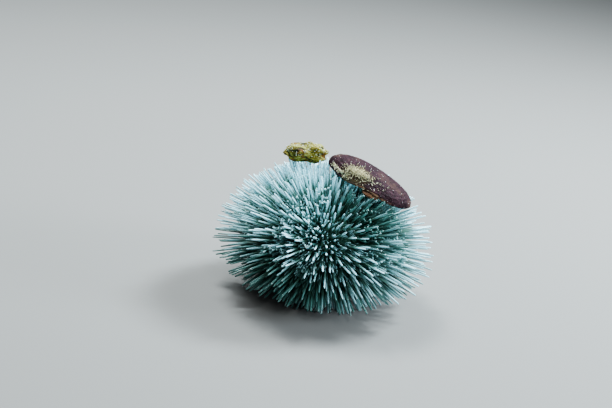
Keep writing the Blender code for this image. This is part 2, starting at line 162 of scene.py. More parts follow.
def finish_piece(
    piece: Object, slot: Slot, replaced: tuple[str, ...] = (), smooth: bool = True
) -> Object:
    """Hangs a finished piece on the frame and reports it.

    Args:
        piece: The object, in place.
        slot: The material slot named for it, which is only logged.
        replaced: The frame's nodes that it stands for.
        smooth: Whether its faces are shaded smooth.

    Returns:
        The same object.
    """
    piece.data.polygons.foreach_set("use_smooth", [smooth] * len(piece.data.polygons))
    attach(piece, BODY)
    if replaced:
        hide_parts(*replaced)
    LOG.info("%s: %d faces, slot %s", piece.name, len(piece.data.polygons), slot.value)
    return piece


def linked(name: str, data: ID) -> Object:
    """Makes an object and links it into the scene.

    Args:
        name: Its name.
        data: Its mesh, light or camera.

    Returns:
        The object.
    """
    made = bpy.data.objects.new(name, data)
    bpy.context.scene.collection.objects.link(made)
    return made


def object_from(bm: BMesh, name: str, material: Material) -> Object:
    """Turns a bmesh into a linked object with its faces outward.

    Args:
        bm: The mesh, which is freed.
        name: The object's name.
        material: Its finish.

    Returns:
        The object.
    """
    bmesh.ops.recalc_face_normals(bm, faces=bm.faces)
    mesh = bpy.data.meshes.new(name)
    bm.to_mesh(mesh)
    bm.free()
    mesh.materials.append(material)
    return linked(name, mesh)


def point_attribute(mesh: Mesh, name: str, values: np.ndarray) -> None:
    """Stores one number per vertex under a name."""
    layer = mesh.attributes.new(name, "FLOAT", "POINT")
    layer.data.foreach_set("value", np.asarray(values, np.float32).ravel())


def extrude(bm: BMesh, edges: list) -> tuple[list, list]:
    """Extrudes edges where they stand.

    Args:
        bm: The bmesh.
        edges: The edges.

    Returns:
        The new vertices, and the new edges that join them.
    """
    grown = bmesh.ops.extrude_edge_only(bm, edges=edges)["geom"]
    verts = [item for item in grown if isinstance(item, BMVert)]
    lines = [item for item in grown if isinstance(item, BMEdge)]
    return verts, [line for line in lines if all(v in verts for v in line.verts)]


def spin_once(bm: BMesh, outline: list, turns: int) -> None:
    """Spins an outline once round the axis and closes the seam.

    Args:
        bm: The bmesh.
        outline: The outline's vertices and edges.
        turns: How many steps the turn has.
    """
    bmesh.ops.spin(bm, geom=outline, angle=math.tau, steps=turns, use_merge=True, **ROUND)
    bmesh.ops.remove_doubles(bm, verts=bm.verts, dist=MERGE)


# Finishes


class Bench:
    """A material on the bench, with short calls for the nodes that go into it."""

    COLOUR_INPUTS = (6, 7)
    COLOUR_OUTPUT = 2

    def __init__(self, name: str) -> None:
        """Starts a material with its shader.

        Args:
            name: The material's name.
        """
        self.material = bpy.data.materials.new(name)
        self.material.use_nodes = True
        self.tree = self.material.node_tree
        self.shader = self.tree.nodes["Principled BSDF"]

    def feed(self, socket: NodeSocket, value: object) -> None:
        """Links a socket to another, or sets its value.

        Args:
            socket: The input that is fed.
            value: The output of another node, or a plain value.
        """
        if isinstance(value, NodeSocket):
            self.tree.links.new(value, socket)
        else:
            socket.default_value = value

    def node(self, kind: str, sockets: dict, **settings: object) -> Node:
        """Adds a node.

        Args:
            kind: The node's type name.
            sockets: Input names or numbers with what goes into them.
            **settings: The node's own settings.

        Returns:
            The node.
        """
        made = self.tree.nodes.new(kind)
        for name, value in settings.items():
            setattr(made, name, value)
        for name, value in sockets.items():
            self.feed(made.inputs[name], value)
        return made

    def attribute(self, name: str) -> NodeSocket:
        """Reads a number stored on the mesh."""
        return self.node("ShaderNodeAttribute", {}, attribute_name=name).outputs["Fac"]

    def uv(self, name: str) -> NodeSocket:
        """Reads one of the mesh's own UV maps."""
        return self.node("ShaderNodeUVMap", {}, uv_map=name).outputs["UV"]

    def place(self) -> NodeSocket:
        """Reads the place on the object."""
        return self.node("ShaderNodeTexCoord", {}).outputs["Object"]

    def stretch(self, vector: NodeSocket, scale: Point) -> NodeSocket:
        """Scales a pattern's coordinates by a number per axis."""
        return self.node("ShaderNodeMapping", {"Vector": vector, "Scale": scale}).outputs["Vector"]

    def grain(self, vector: NodeSocket, scale: float, detail: float = 3.0) -> NodeSocket:
        """Gives noise from 0 to 1 at a scale."""
        sockets = {"Vector": vector, "Scale": scale, "Detail": detail}
        return self.node("ShaderNodeTexNoise", sockets).outputs["Fac"]

    def cells(self, vector: NodeSocket, scale: float) -> NodeSocket:
        """Gives the distance to the middle of the nearest cell."""
        return self.node("ShaderNodeTexVoronoi", {"Vector": vector, "Scale": scale}).outputs["Distance"]

    def waves(self, vector: NodeSocket, scale: float, direction: str) -> NodeSocket:
        """Gives even waves along one axis of the coordinates."""
        sockets = {"Vector": vector, "Scale": scale}
        return self.node("ShaderNodeTexWave", sockets, bands_direction=direction).outputs["Fac"]

    def calculate(self, operation: str, first: NodeSocket, second: NodeSocket | float) -> NodeSocket:
        """Joins two numbers with an operation of the Math node."""
        return self.node("ShaderNodeMath", {0: first, 1: second}, operation=operation).outputs[0]

    def product(self, first: NodeSocket, second: NodeSocket | float) -> NodeSocket:
        """Multiplies two numbers."""
        return self.calculate("MULTIPLY", first, second)

    def stray(self, value: NodeSocket, pattern: NodeSocket, share: float) -> NodeSocket:
        """Shifts a number up and down by a share of a pattern that runs from 0 to 1."""
        shift = self.product(self.calculate("SUBTRACT", pattern, 0.5), share)
        return self.calculate("ADD", value, shift)

    def span(self, value: NodeSocket, low: float, high: float) -> NodeSocket:
        """Spreads the range from low to high over 0 to 1, smoothly and within it."""
        sockets = {"Value": value, "From Min": low, "From Max": high}
        return self.node("ShaderNodeMapRange", sockets, interpolation_type="SMOOTHSTEP").outputs["Result"]

    def ramp(self, factor: NodeSocket, stops: Stops) -> NodeSocket:
        """Turns a number into a colour.

        Args:
            factor: The number.
            stops: (place, colour) of each stop, in order.

        Returns:
            The colour.
        """
        made = self.node("ShaderNodeValToRGB", {"Fac": factor})
        band = made.color_ramp.elements
        while len(band) < len(stops):
            band.new(0.5)
        for stop, (place, colour) in zip(band, stops):
            stop.position = place
            stop.color = (*colour, 1.0)
        return made.outputs["Color"]

    def mix(self, factor: NodeSocket, first: object, second: object, blend: str = "MIX") -> NodeSocket:
        """Mixes two colours.

        Args:
            factor: How much of the second colour shows.
            first: The first colour, plain or from a node.
            second: The second colour, plain or from a node.
            blend: The way that they are mixed.

        Returns:
            The mixed colour.
        """
        made = self.node("ShaderNodeMix", {0: factor}, data_type="RGBA", blend_type=blend)
        for number, value in zip(self.COLOUR_INPUTS, (first, second)):
            self.feed(made.inputs[number], (*value, 1.0) if isinstance(value, tuple) else value)
        return made.outputs[self.COLOUR_OUTPUT]

    def relief(
        self, height: NodeSocket, strength: float, depth: float, under: NodeSocket | None = None
    ) -> NodeSocket:
        """Gives the normal that a height pattern makes.

        Args:
            height: The pattern.
            strength: How strongly it shows.
            depth: How deep it is.
            under: Another normal, which it lies over.

        Returns:
            The normal.
        """
        sockets = {"Height": height, "Strength": strength, "Distance": depth}
        if under is not None:
            sockets["Normal"] = under
        return self.node("ShaderNodeBump", sockets).outputs["Normal"]

    def done(self, colour: NodeSocket, normal: NodeSocket | None = None, **sockets: float) -> Material:
        """Feeds the shader.

        Args:
            colour: Its colour.
            normal: Its normal, if it has a relief.
            **sockets: Its other input names, with underscores for spaces.

        Returns:
            The material.
        """
        self.feed(self.shader.inputs["Base Color"], colour)
        if normal is not None:
            self.feed(self.shader.inputs["Normal"], normal)
        for name, value in sockets.items():
            self.feed(self.shader.inputs[name.replace("_", " ")], value)
        return self.material


@dataclass(frozen=True)
class SpineFinish:
    """The pale, chalky finish of a spine, darker and greener towards its root, partly its own colour and
    partly painted shade.
    """

    name: str
    root: Colour = (0.020, 0.060, 0.042)
    shaft: Colour = (0.038, 0.106, 0.074)
    upper: Colour = (0.115, 0.265, 0.225)
    tip: Colour = (0.480, 0.880, 1.000)
    shade: Colour = (0.074, 0.146, 0.114)

    def make(self) -> Material:
        """Builds the material.

        Returns:
            The material.
        """
        bench = Bench(self.name)
        shaft_map = bench.uv("Shaft")
        streak = bench.grain(bench.stretch(shaft_map, (9.0, 2.2, 1.0)), scale=1.0)
        along = bench.stray(bench.attribute("along"), streak, share=0.22)
        # Dark root and shaft: partly the spine's own colour, partly painted shade deep in the coat
        stops = ((0.04, self.root), (0.38, self.shaft), (0.58, self.upper), (0.76, self.tip))
        # Painted shade and light and random tone from the mesh darken it towards the shade colour
        colour = bench.mix(bench.attribute("painted_shade_and_tone"), bench.ramp(along, stops), self.shade, "MULTIPLY")
        flutes = bench.waves(shaft_map, scale=2.2, direction="X")
        normal = bench.relief(flutes, strength=0.35, depth=0.00008)
        return bench.done(colour, normal, Roughness=0.42)


@dataclass(frozen=True)
class TubeFootFinish:
    """A clear teal stalk with a white sucker."""

    name: str = "tube_foot"
    base: Colour = (0.028, 0.085, 0.066)
    stalk: Colour = (0.078, 0.260, 0.235)
    sucker: Colour = (0.560, 0.940, 1.000)
    shade: Colour = (0.090, 0.180, 0.150)

    def make(self) -> Material:
        """Builds the material.

        Returns:
            The material.
        """
        bench = Bench(self.name)
        shaft_map = bench.uv("Shaft")
        speck = bench.grain(bench.stretch(shaft_map, (5.0, 16.0, 1.0)), scale=1.0, detail=2.0)
        along = bench.stray(bench.attribute("along"), speck, share=0.10)
        stops = ((0.0, self.base), (0.55, self.stalk), (0.86, self.stalk), (0.93, self.sucker))
        # Painted shade and random tone from the mesh darken it towards the shade colour
        colour = bench.mix(bench.attribute("painted_shade_and_tone"), bench.ramp(along, stops), self.shade, "MULTIPLY")
        rings = bench.waves(shaft_map, scale=7.0, direction="Y")
        normal = bench.relief(rings, strength=0.3, depth=0.00006)
        return bench.done(colour, normal, Roughness=0.3)


@dataclass(frozen=True)
class TestSkinFinish:
    """The thin green skin over the plates, mottled, and dark along the sutures."""

    name: str = "test_skin"
    plate: Colour = (0.054, 0.168, 0.118)
    deep: Colour = (0.010, 0.040, 0.028)
    flush: Colour = (0.026, 0.084, 0.062)

    def make(self) -> Material:
        """Builds the material.

        Returns:
            The material.
        """
        bench = Bench(self.name)
        place = bench.place()
        mottle = bench.grain(place, scale=260.0, detail=4.0)
        flushed = bench.span(bench.grain(place, scale=90.0), 0.50, 0.72)
        colour = bench.ramp(mottle, ((0.30, self.deep), (0.62, self.plate)))
        colour = bench.mix(flushed, colour, self.flush)
        colour = bench.mix(bench.attribute("suture"), colour, self.deep)
        normal = bench.relief(bench.cells(place, scale=900.0), strength=0.5, depth=0.0002)
        return bench.done(colour, normal, Roughness=0.6, Specular_IOR_Level=0.08)


@dataclass(frozen=True)
class PlateFinish:
    """Bare calcite plates with pores, dark green in the joints."""

    name: str = "disc_plates"
    plate: Colour = (0.060, 0.100, 0.080)
    joint: Colour = (0.012, 0.028, 0.020)

    def make(self) -> Material:
        """Builds the material.

        Returns:
            The material.
        """
        bench = Bench(self.name)
        place = bench.place()
        mottle = bench.grain(place, scale=700.0, detail=4.0)
        pores = bench.cells(place, scale=2600.0)
        colour = bench.ramp(mottle, ((0.32, self.joint), (0.60, self.plate)))
        colour = bench.mix(bench.span(pores, 0.10, 0.32), self.joint, colour)
        normal = bench.relief(pores, strength=0.5, depth=0.0001)
        return bench.done(colour, normal, Roughness=0.6)


@dataclass(frozen=True)
class MembraneFinish:
    """The leathery brown skin round the mouth, mottled, with pale grains."""

    name: str = "mouth_skin"
    flesh: Colour = (0.130, 0.090, 0.066)
    crease: Colour = (0.030, 0.022, 0.018)
    grain: Colour = (0.300, 0.270, 0.210)

    def make(self) -> Material:
        """Builds the material.

        Returns:
            The material.
        """
        bench = Bench(self.name)
        place = bench.place()
        mottle = bench.grain(place, scale=420.0, detail=5.0)
        grains = bench.span(bench.cells(place, scale=1500.0), 0.24, 0.12)
        colour = bench.ramp(mottle, ((0.34, self.crease), (0.62, self.flesh)))
        colour = bench.mix(grains, colour, self.grain)
        normal = bench.relief(bench.grain(place, scale=900.0), strength=0.6, depth=0.0002)
        return bench.done(colour, normal, Roughness=0.5)


@dataclass(frozen=True)
class ToothFinish:
    """Hard white tooth, faintly banded along its length."""

    name: str = "tooth_enamel"
    enamel: Colour = (0.780, 0.760, 0.680)
    stain: Colour = (0.420, 0.370, 0.270)

    def make(self) -> Material:
        """Builds the material.

        Returns:
            The material.
        """
        bench = Bench(self.name)
        bands = bench.grain(bench.stretch(bench.place(), (900.0, 900.0, 90.0)), scale=1.0)
        colour = bench.ramp(bands, ((0.35, self.stain), (0.55, self.enamel)))
        normal = bench.relief(bands, strength=0.3, depth=0.0001)
        return bench.done(colour, normal, Roughness=0.28, Coat_Weight=0.2)


@dataclass(frozen=True)
class ShellFinish:
    """An overgrown shell: purple-brown, pitted, with pale flecks and a tan edge."""

    name: str = "worn_shell"
    dark: Colour = (0.0035, 0.0014, 0.0022)
    brown: Colour = (0.016, 0.0050, 0.0084)
    dust: Colour = (0.037, 0.0128, 0.0190)
    tan: Colour = (0.047, 0.0230, 0.0180)
    patch: Colour = (0.066, 0.050, 0.026)
    lip: Colour = (0.400, 0.200, 0.120)
    fleck: Colour = (0.800, 0.780, 0.740)

    def make(self) -> Material:
        """Builds the material.

        Returns:
            The material.
        """
        bench = Bench(self.name)
        place = bench.place()
        fine = bench.grain(place, scale=1100.0, detail=5.0)
        hollows = bench.span(bench.grain(place, scale=150.0), 0.60, 0.36)
        clouds = bench.span(bench.grain(place, scale=90.0, detail=4.0), 0.50, 0.68)
        crust = bench.span(bench.grain(place, scale=620.0), 0.40, 0.60)
        streaks = bench.span(bench.grain(place, scale=480.0), 0.36, 0.62)
        flecks = bench.span(bench.cells(place, scale=560.0), 0.10, 0.06)
        colour = bench.ramp(fine, ((0.34, self.dark), (0.50, self.brown), (0.70, self.dust)))
        colour = bench.mix(bench.product(hollows, 0.5), colour, self.dark)
        colour = bench.mix(bench.product(clouds, 0.7), colour, self.tan)
        colour = bench.mix(bench.product(bench.attribute("patch"), crust), colour, self.patch)
        colour = bench.mix(bench.product(bench.attribute("lip"), streaks), colour, self.lip)
        colour = bench.mix(flecks, colour, self.fleck)
        rough = bench.relief(fine, strength=0.6, depth=0.0004)
        normal = bench.relief(bench.cells(place, scale=1300.0), strength=0.8, depth=0.0004, under=rough)
        return bench.done(colour, normal, Roughness=0.7, Specular_IOR_Level=0.03)


@dataclass(frozen=True)
class CrustFinish:
    """Rubble under a crust of yellow and olive growth with orange and dark hollows."""

    name: str = "worn_rubble"
    hollow: Colour = (0.008, 0.009, 0.003)
    olive: Colour = (0.044, 0.042, 0.004)
    yellow: Colour = (0.160, 0.122, 0.006)
    pale: Colour = (0.220, 0.215, 0.045)
    orange: Colour = (0.135, 0.047, 0.002)

    def make(self) -> Material:
        """Builds the material.

        Returns:
            The material.
        """
        bench = Bench(self.name)
        place = bench.place()
        crust = bench.product(bench.grain(place, scale=900.0, detail=4.0), 0.5)
        height = bench.calculate("ADD", bench.attribute("height"), crust)
        orange = bench.span(bench.grain(place, scale=240.0), 0.56, 0.70)
        pores = bench.cells(place, scale=1500.0)
        stops = ((0.46, self.hollow), (0.62, self.olive), (0.80, self.yellow), (1.0, self.pale))
        colour = bench.mix(orange, bench.ramp(height, stops), self.orange)
        colour = bench.mix(bench.span(pores, 0.20, 0.08), colour, self.hollow)
        normal = bench.relief(pores, strength=0.8, depth=0.0004)
        return bench.done(colour, normal, Roughness=0.8, Specular_IOR_Level=0.15)


@dataclass(frozen=True)
class GrainFinish:
    """Grains and bristles of one pale colour, darker towards the root; the mesh's painted shade and random
    tone darken them further.
    """

    name: str
    light: Colour
    dark_colour: Colour
    roughness: float = 0.4

    def make(self) -> Material:
        """Builds the material.

        Returns:
            The material.
        """
        bench = Bench(self.name)
        spots = bench.grain(bench.place(), scale=1400.0)
        along = bench.stray(bench.attribute("along"), spots, share=0.8)
        colour = bench.ramp(along, ((0.05, self.dark_colour), (0.60, self.light)))
        # Painted shade (on the pedicellariae) and random tone from the mesh
        colour = bench.mix(bench.attribute("painted_shade_and_tone"), colour, self.dark_colour)
        normal = bench.relief(spots, strength=0.3, depth=0.0001)
        return bench.done(colour, normal, Roughness=self.roughness)


@dataclass(frozen=True)
class FloorFinish:
    """A plain pale floor with a trace of unevenness."""

    name: str = "studio_floor"
    light: Colour = (0.124, 0.117, 0.113)
    shade: Colour = (0.117, 0.110, 0.106)

    def make(self) -> Material:
        """Builds the material.

        Returns:
            The material.
        """
        bench = Bench(self.name)
        cloud = bench.grain(bench.place(), scale=1.5, detail=2.0)
        colour = bench.ramp(cloud, ((0.3, self.shade), (0.7, self.light)))
        return bench.done(colour, Roughness=0.85)


# The shape of the test


@dataclass(frozen=True)
class Outline:
    """The test's outline, from the top pole to the bottom pole, by distance along it."""

    radius: float = 0.037
    height: float = 0.046
    lift: float = 0.0135
    ambitus_share: float = 0.42
    upper_fullness: float = 0.88
    lower_fullness: float = 0.74
    steps: int = 720

    @property
    def ambitus(self) -> float:
        """The height at which the test is widest."""
        return self.lift + self.ambitus_share * self.height

    @property
    def top(self) -> float:
        """The height of the test's top."""
        return self.lift + self.height

    def table(self) -> tuple[np.ndarray, np.ndarray]:
        """Gives the outline's points.

        Returns:
            Rows of (radius, height), and the distance of each from the top pole.
        """
        angle = math.pi * (0.5 - np.arange(self.steps + 1) / self.steps)
        upper = angle >= 0
        fullness = np.where(upper, self.upper_fullness, self.lower_fullness)
        rise = np.where(upper, self.top, self.lift) - self.ambitus
        across = self.radius * np.abs(np.cos(angle)) ** fullness
        high = self.ambitus + rise * np.abs(np.sin(angle)) ** fullness
        points = np.stack([across, high], 1)
        distances = np.concatenate([[0.0], np.cumsum(np.linalg.norm(np.diff(points, axis=0), axis=1))])
        return points, distances


class Meridian:
    """Looks up places along the outline."""

    BELOW_RANK = 1e3

    def __init__(self, outline: Outline) -> None:
        """Tabulates an outline.

        Args:
            outline: The outline.
        """
        self.outline = outline
        self.points, self.distances = outline.table()
        self.length = float(self.distances[-1])

    def distance_of(self, radius: float, upper: bool) -> float:
        """Gives the distance from the top at which the outline has a radius.

        Args:
            radius: The radius.
            upper: Whether above the ambitus, or below it.

        Returns:
            The distance.
        """
        half = self.outline.steps // 2
        part = slice(0, half) if upper else slice(half, None)
        return float(self.distances[part][np.argmin(np.abs(self.points[part, 0] - radius))])

    def distances_of(self, heights: np.ndarray, below: np.ndarray) -> np.ndarray:
        """Gives the distances from the top at which the outline has heights.

        A rank that only grows along the outline tells the two sides of the ambitus apart.

        Args:
            heights: The heights.
            below: Which of them are below the ambitus.

        Returns:
            The distances.
        """
        later = np.arange(len(self.points)) > self.outline.steps // 2
        high = self.points[:, 1]
        ranks = np.where(later, self.BELOW_RANK - high, self.outline.top - high)
        rank = np.where(below, self.BELOW_RANK - heights, self.outline.top - heights)
        return np.interp(rank, ranks, self.distances)

    def at(self, distance: float) -> tuple[Vector, Vector]:
        """Looks up one place.

        Args:
            distance: Its distance from the top.

        Returns:
            The point (radius, height), and the outward normal there.
        """
        i = int(np.clip(np.searchsorted(self.distances, distance), 1, len(self.points) - 1))
        a, b = Vector(self.points[i - 1]), Vector(self.points[i])
        share = (distance - self.distances[i - 1]) / (self.distances[i] - self.distances[i - 1])
        tangent = (b - a).normalized()
        return a.lerp(b, share), Vector((-tangent.y, tangent.x))


@dataclass
class TestSkin:
    """The skin over the test: one closed wall from the apical disc round to the mouth."""

    meridian: Meridian
    axis: Vector
    wall: float = 0.0022
    rows: int = 150
    inner_step: int = 3
    turns: int = 240
    plate_height: float = 0.0031
    suture_width: float = 0.0005
    suture_depth: float = 0.00022

    def profile(self) -> list[Vector]:
        """Draws the wall's closed profile, down its outside and back up its inside.

        Returns:
            Its points (radius, height).
        """
        top = self.meridian.distance_of(APICAL_RADIUS + GAP, upper=True)
        bottom = self.meridian.distance_of(PERISTOME_RADIUS + GAP, upper=False)
        outer = [self.meridian.at(d) for d in np.linspace(top, bottom, self.rows)]
        inner = [point - normal * self.wall for point, normal in outer[:: -self.inner_step]]
        return [point for point, _ in outer] + inner

    def sutures(self, points: np.ndarray) -> np.ndarray:
        """Tells how deep in a suture each point lies.

        Args:
            points: One row per point, on the test's own axis.

        Returns:
            A share each, from 0 on a plate to 1 in a joint.
        """
        azimuth = np.degrees(np.arctan2(points[:, 1], points[:, 0]))
        offset = (azimuth - FIRST_AZIMUTH + BETWEEN_TURN) % RAY_TURN - BETWEEN_TURN
        half = AMBULACRUM_WIDTH / 2
        reach = np.abs(offset)
        columns = np.stack([reach, np.abs(reach - half), BETWEEN_TURN - reach])
        across = columns.min(0) * np.pi / 180.0 * np.hypot(points[:, 0], points[:, 1])
        below = points[:, 2] < self.meridian.outline.ambitus
        distance = self.meridian.distances_of(points[:, 2], below)
        side = np.where(reach < half, np.sign(offset), np.sign(offset) + 0.5)
        phase = distance / self.plate_height + 0.5 * side
        along = np.abs(phase - np.round(phase)) * self.plate_height
        return 1.0 - smooth_share(np.minimum(across, along), 0.0, self.suture_width)

    def build(self) -> Object:
        """Builds and dresses the skin.

        Returns:
            The object that stands for the ten sectors.
        """
        bm = bmesh.new()
        corners = [bm.verts.new((p.x, 0.0, p.y)) for p in self.profile()]
        ring = [bm.edges.new((a, b)) for a, b in zip(corners, corners[1:] + corners[:1])]
        spin_once(bm, corners + ring, self.turns)
        bmesh.ops.recalc_face_normals(bm, faces=bm.faces)
        bm.normal_update()
        depth = self.sutures(np.array([v.co for v in bm.verts]))
        centre = Vector((0, 0, self.meridian.outline.ambitus))
        for vertex, share in zip(bm.verts, depth):
            if vertex.normal.dot(vertex.co - centre) > 0:
                vertex.co -= vertex.normal * self.suture_depth * share
        bmesh.ops.translate(bm, verts=bm.verts, vec=self.axis)
        skin = object_from(bm, "test_skin", TestSkinFinish().make())
        point_attribute(skin.data, "suture", depth)
        self.unwrap(skin.data)
        kinds = ("ambulacrum", "interambulacrum")
        sectors = [f"{kind}_{i}" for kind in kinds for i in range(1, AMBULACRA + 1)]
        return finish_piece(skin, Slot.BANDS, tuple(sectors))

    def unwrap(self, mesh: Mesh) -> None:
        """Unwraps the skin by its own azimuth and height.

        Args:
            mesh: The skin's mesh.
        """
        corners = np.empty(len(mesh.loops), np.int32)
        mesh.loops.foreach_get("vertex_index", corners)
        points = np.empty(len(mesh.vertices) * 3, np.float32)
        mesh.vertices.foreach_get("co", points)
        places = points.reshape(-1, 3).astype(float)[corners] - np.array(self.axis)
        turn = np.arctan2(places[:, 1], places[:, 0]) / math.tau + 0.5
        starts = np.empty(len(mesh.polygons), np.int32)
        mesh.polygons.foreach_get("loop_start", starts)
        sizes = np.diff(np.append(starts, len(corners)))
        first = turn[starts][np.repeat(np.arange(len(starts)), sizes)]
        turn += (first - turn > 0.5).astype(float) - (turn - first > 0.5).astype(float)
        high = (places[:, 2] - self.meridian.outline.lift) / self.meridian.outline.height
        layer = mesh.uv_layers.new(name="OFBake")
        layer.data.foreach_set("uv", np.stack([turn, high], 1).astype(np.float32).ravel())


# The coat


@dataclass
class Form:
    """One small shape of the coat, one high and one in radius, as arrays."""

    points: np.ndarray
    corners: np.ndarray
    sizes: np.ndarray
    around: np.ndarray

    @classmethod
    def of(cls, bm: BMesh) -> "Form":
        """Reads a form.

        Args:
            bm: The bmesh that holds it, which is freed.

        Returns:
            The form.
        """
        bmesh.ops.recalc_face_normals(bm, faces=bm.faces)
        bm.verts.index_update()
        points = np.array([v.co for v in bm.verts])
        corners, sizes, around = [], [], []
        for face in bm.faces:
            turns = [math.atan2(v.co.y, v.co.x) / math.tau + 0.5 for v in face.verts]
            turns = [t + 1.0 if turns[0] - t > 0.5 else t - 1.0 if t - turns[0] > 0.5 else t for t in turns]
            corners += [v.index for v in face.verts]
            around += turns
            sizes.append(len(face.verts))
        bm.free()
        return cls(points, np.array(corners), np.array(sizes), np.array(around))


def lathe(rings: Rings, sides: int) -> BMesh:
    """Draws a round form up through rings and closes its ends.

    Args:
        rings: (height, radius) of each ring, from the root up.
        sides: How many sides it has.

    Returns:
        The bmesh.
    """
    bm = bmesh.new()
    made = bmesh.ops.create_circle(bm, cap_ends=True, segments=sides, radius=rings[0][1])
    bmesh.ops.translate(bm, verts=made["verts"], vec=(0, 0, rings[0][0]))
    edges = list(bm.edges)
    for (low, small), (high, wide) in zip(rings, rings[1:]):
        ring, edges = extrude(bm, edges)
        bmesh.ops.scale(bm, vec=(wide / small, wide / small, 1.0), verts=ring)
        bmesh.ops.translate(bm, verts=ring, vec=(0, 0, high - low))
    bmesh.ops.edgeloop_fill(bm, edges=edges)
    return bm


@dataclass
class Site:
    """One small thing: its root, direction and sizes, how far its colour is darkened from 0 to 1 by painted
    shade and light and by random tone, its place on the unwrap.

    The bend is how far its tip is drawn aside.
    """

    root: Vector
    direction: Vector
    length: float
    radius: float
    painted_shade_and_tone: float
    patch: Pair
    bend: Vector | Point = (0.0, 0.0, 0.0)


def copies(form: Form, sites: list[Site], draw: np.random.Generator) -> np.ndarray:
    """Places one copy of a form's points per site.

    Args:
        form: The shape that is repeated.
        sites: Where and how it grows.
        draw: The source of chance, for the turn of each copy about itself.

    Returns:
        The points, as (copy, point, axis).
    """
    rows = [(site.root, site.direction, site.length, site.radius, site.bend) for site in sites]
    root, direction, length, radius, bend = (np.array(column) for column in zip(*rows))
    upright = np.abs(direction[:, 2:]) >= 0.9
    helper = np.where(upright, [[1.0, 0.0, 0.0]], [[0.0, 0.0, 1.0]])
    side = np.cross(helper, direction)
    side /= np.linalg.norm(side, axis=1, keepdims=True)
    other = np.cross(direction, side)
    turn = draw.uniform(0, math.tau, len(sites))
    cos, sin = np.cos(turn)[:, None], np.sin(turn)[:, None]
    side, other = side * cos + other * sin, other * cos - side * sin
    along = form.points[:, 2]
    points = root[:, None, :] + side[:, None, :] * (radius[:, None] * form.points[:, 0])[:, :, None]
    points += other[:, None, :] * (radius[:, None] * form.points[:, 1])[:, :, None]
    points += direction[:, None, :] * (length[:, None] * along)[:, :, None]
    points += bend[:, None, :] * (np.clip(along, 0.0, None) ** 2)[None, :, None]
    points[:, :, 2] = np.maximum(points[:, :, 2], 0.0)
    return points


def grow(
    name: str, form: Form, sites: list[Site], material: Material, draw: np.random.Generator
) -> Object:
    """Joins one copy of a form per site into one mesh.

    Args:
        name: The piece's name.
        form: The shape that is repeated.
        sites: Where and how it grows.
        material: Its finish.
        draw: The source of chance.

    Returns:
        The joined object.
    """
    count, corners = len(sites), len(form.corners)
    points = copies(form, sites, draw)
    high = np.clip(form.points[:, 2], 0.0, 1.0)
    mesh = bpy.data.meshes.new(name)
    mesh.vertices.add(count * len(high))
    mesh.vertices.foreach_set("co", points.astype(np.float32).ravel())
    mesh.loops.add(count * corners)
    indices = form.corners[None, :] + (np.arange(count) * len(high))[:, None]
    mesh.loops.foreach_set("vertex_index", indices.astype(np.int32).ravel())
    mesh.polygons.add(count * len(form.sizes))
    starts = np.concatenate([[0], np.cumsum(form.sizes)[:-1]])
    starts = starts[None, :] + (np.arange(count) * corners)[:, None]
    mesh.polygons.foreach_set("loop_start", starts.astype(np.int32).ravel())
    mesh.update(calc_edges=True)
    point_attribute(mesh, "along", np.tile(high, count))
    # One darkening per copy: painted shade and light, and a random tone, as its kind gives them
    point_attribute(mesh, "painted_shade_and_tone", np.repeat([site.painted_shade_and_tone for site in sites], len(high)))
    local = np.stack([form.around, high[form.corners]], 1)
    shift = draw.uniform(0, PATTERN_SHIFT, (count, 1, 2)) * np.array([0.0, 1.0])
    patch = np.array([site.patch for site in sites])[:, None, :] + (local[None, :, :] - 0.5) * PATCH_SIZE
    for layer, values in (("OFBake", patch), ("Shaft", local[None, :, :] + shift)):
        unwrap = mesh.uv_layers.new(name=layer)
        unwrap.data.foreach_set("uv", values.astype(np.float32).ravel())
    mesh.materials.append(material)
    return linked(name, mesh)


class Cover:
    """A worn piece as the coat meets it: its own surface, and a wider brim round it."""

    brim_share: float = 1.10
    stretch: float = 1.38
    near_share: float = 1.2
    first_share: float = 0.3
    step: float = 0.00045

    def __init__(self, piece: Object, frame_of: Matrix) -> None:
        """Reads a worn piece.

        Args:
            piece: The worn piece, in place.
            frame_of: The matrix of its own axes.
        """
        graph = bpy.context.evaluated_depsgraph_get()
        evaluated = piece.evaluated_get(graph)
        bm = bmesh.new()
        bm.from_mesh(evaluated.to_mesh())
        evaluated.to_mesh_clear()
        self.surface = BVHTree.FromBMesh(bm)
        points = np.array([v.co for v in bm.verts])
        self.middle = Vector((points.min(0) + points.max(0)) / 2)
        self.size = float(np.linalg.norm(points.max(0) - points.min(0))) / 2
        wider = Matrix.Diagonal((self.brim_share, self.brim_share, 1.0, 1.0))
        bmesh.ops.transform(bm, matrix=frame_of @ wider @ frame_of.inverted(), verts=bm.verts)
        self.brim = BVHTree.FromBMesh(bm)
        bm.free()

    def room(self, root: Vector, direction: Vector, length: float, radius: float) -> float:
        """Gives the length at which a spine stops under the worn piece or beside its brim.

        Args:
            root: The spine's root.
            direction: Its direction.
            length: The length that it would have.
            radius: Its radius.

        Returns:
            The length that it may have.
        """
        near = self.size * self.near_share + length * self.stretch
        if (root + direction * length / 2 - self.middle).length > near:
            return length
        if self.surface.ray_cast(root, direction, length * self.stretch)[0] is not None:
            length *= self.stretch
        along = length * self.first_share
        while along <= length:
            point = root + direction * along
            for tree in (self.surface, self.brim):
                if tree.find_nearest(point, radius + GAP / 2)[0] is not None:
                    return along - self.step
            along += self.step
        return length


@dataclass(frozen=True)
class Place:
    """Where one primary spine grows, and how chance treats it."""

    distance: float
    offset: float
    ambulacrum: int
    chance: Vector
    spread: float
    sector: tuple[float, float] | None = None


def azimuth_of(ambulacrum: int, offset: float) -> float:
    """Gives an azimuth from the offset from an ambulacrum's middle."""
    return FIRST_AZIMUTH + RAY_TURN * ambulacrum + offset


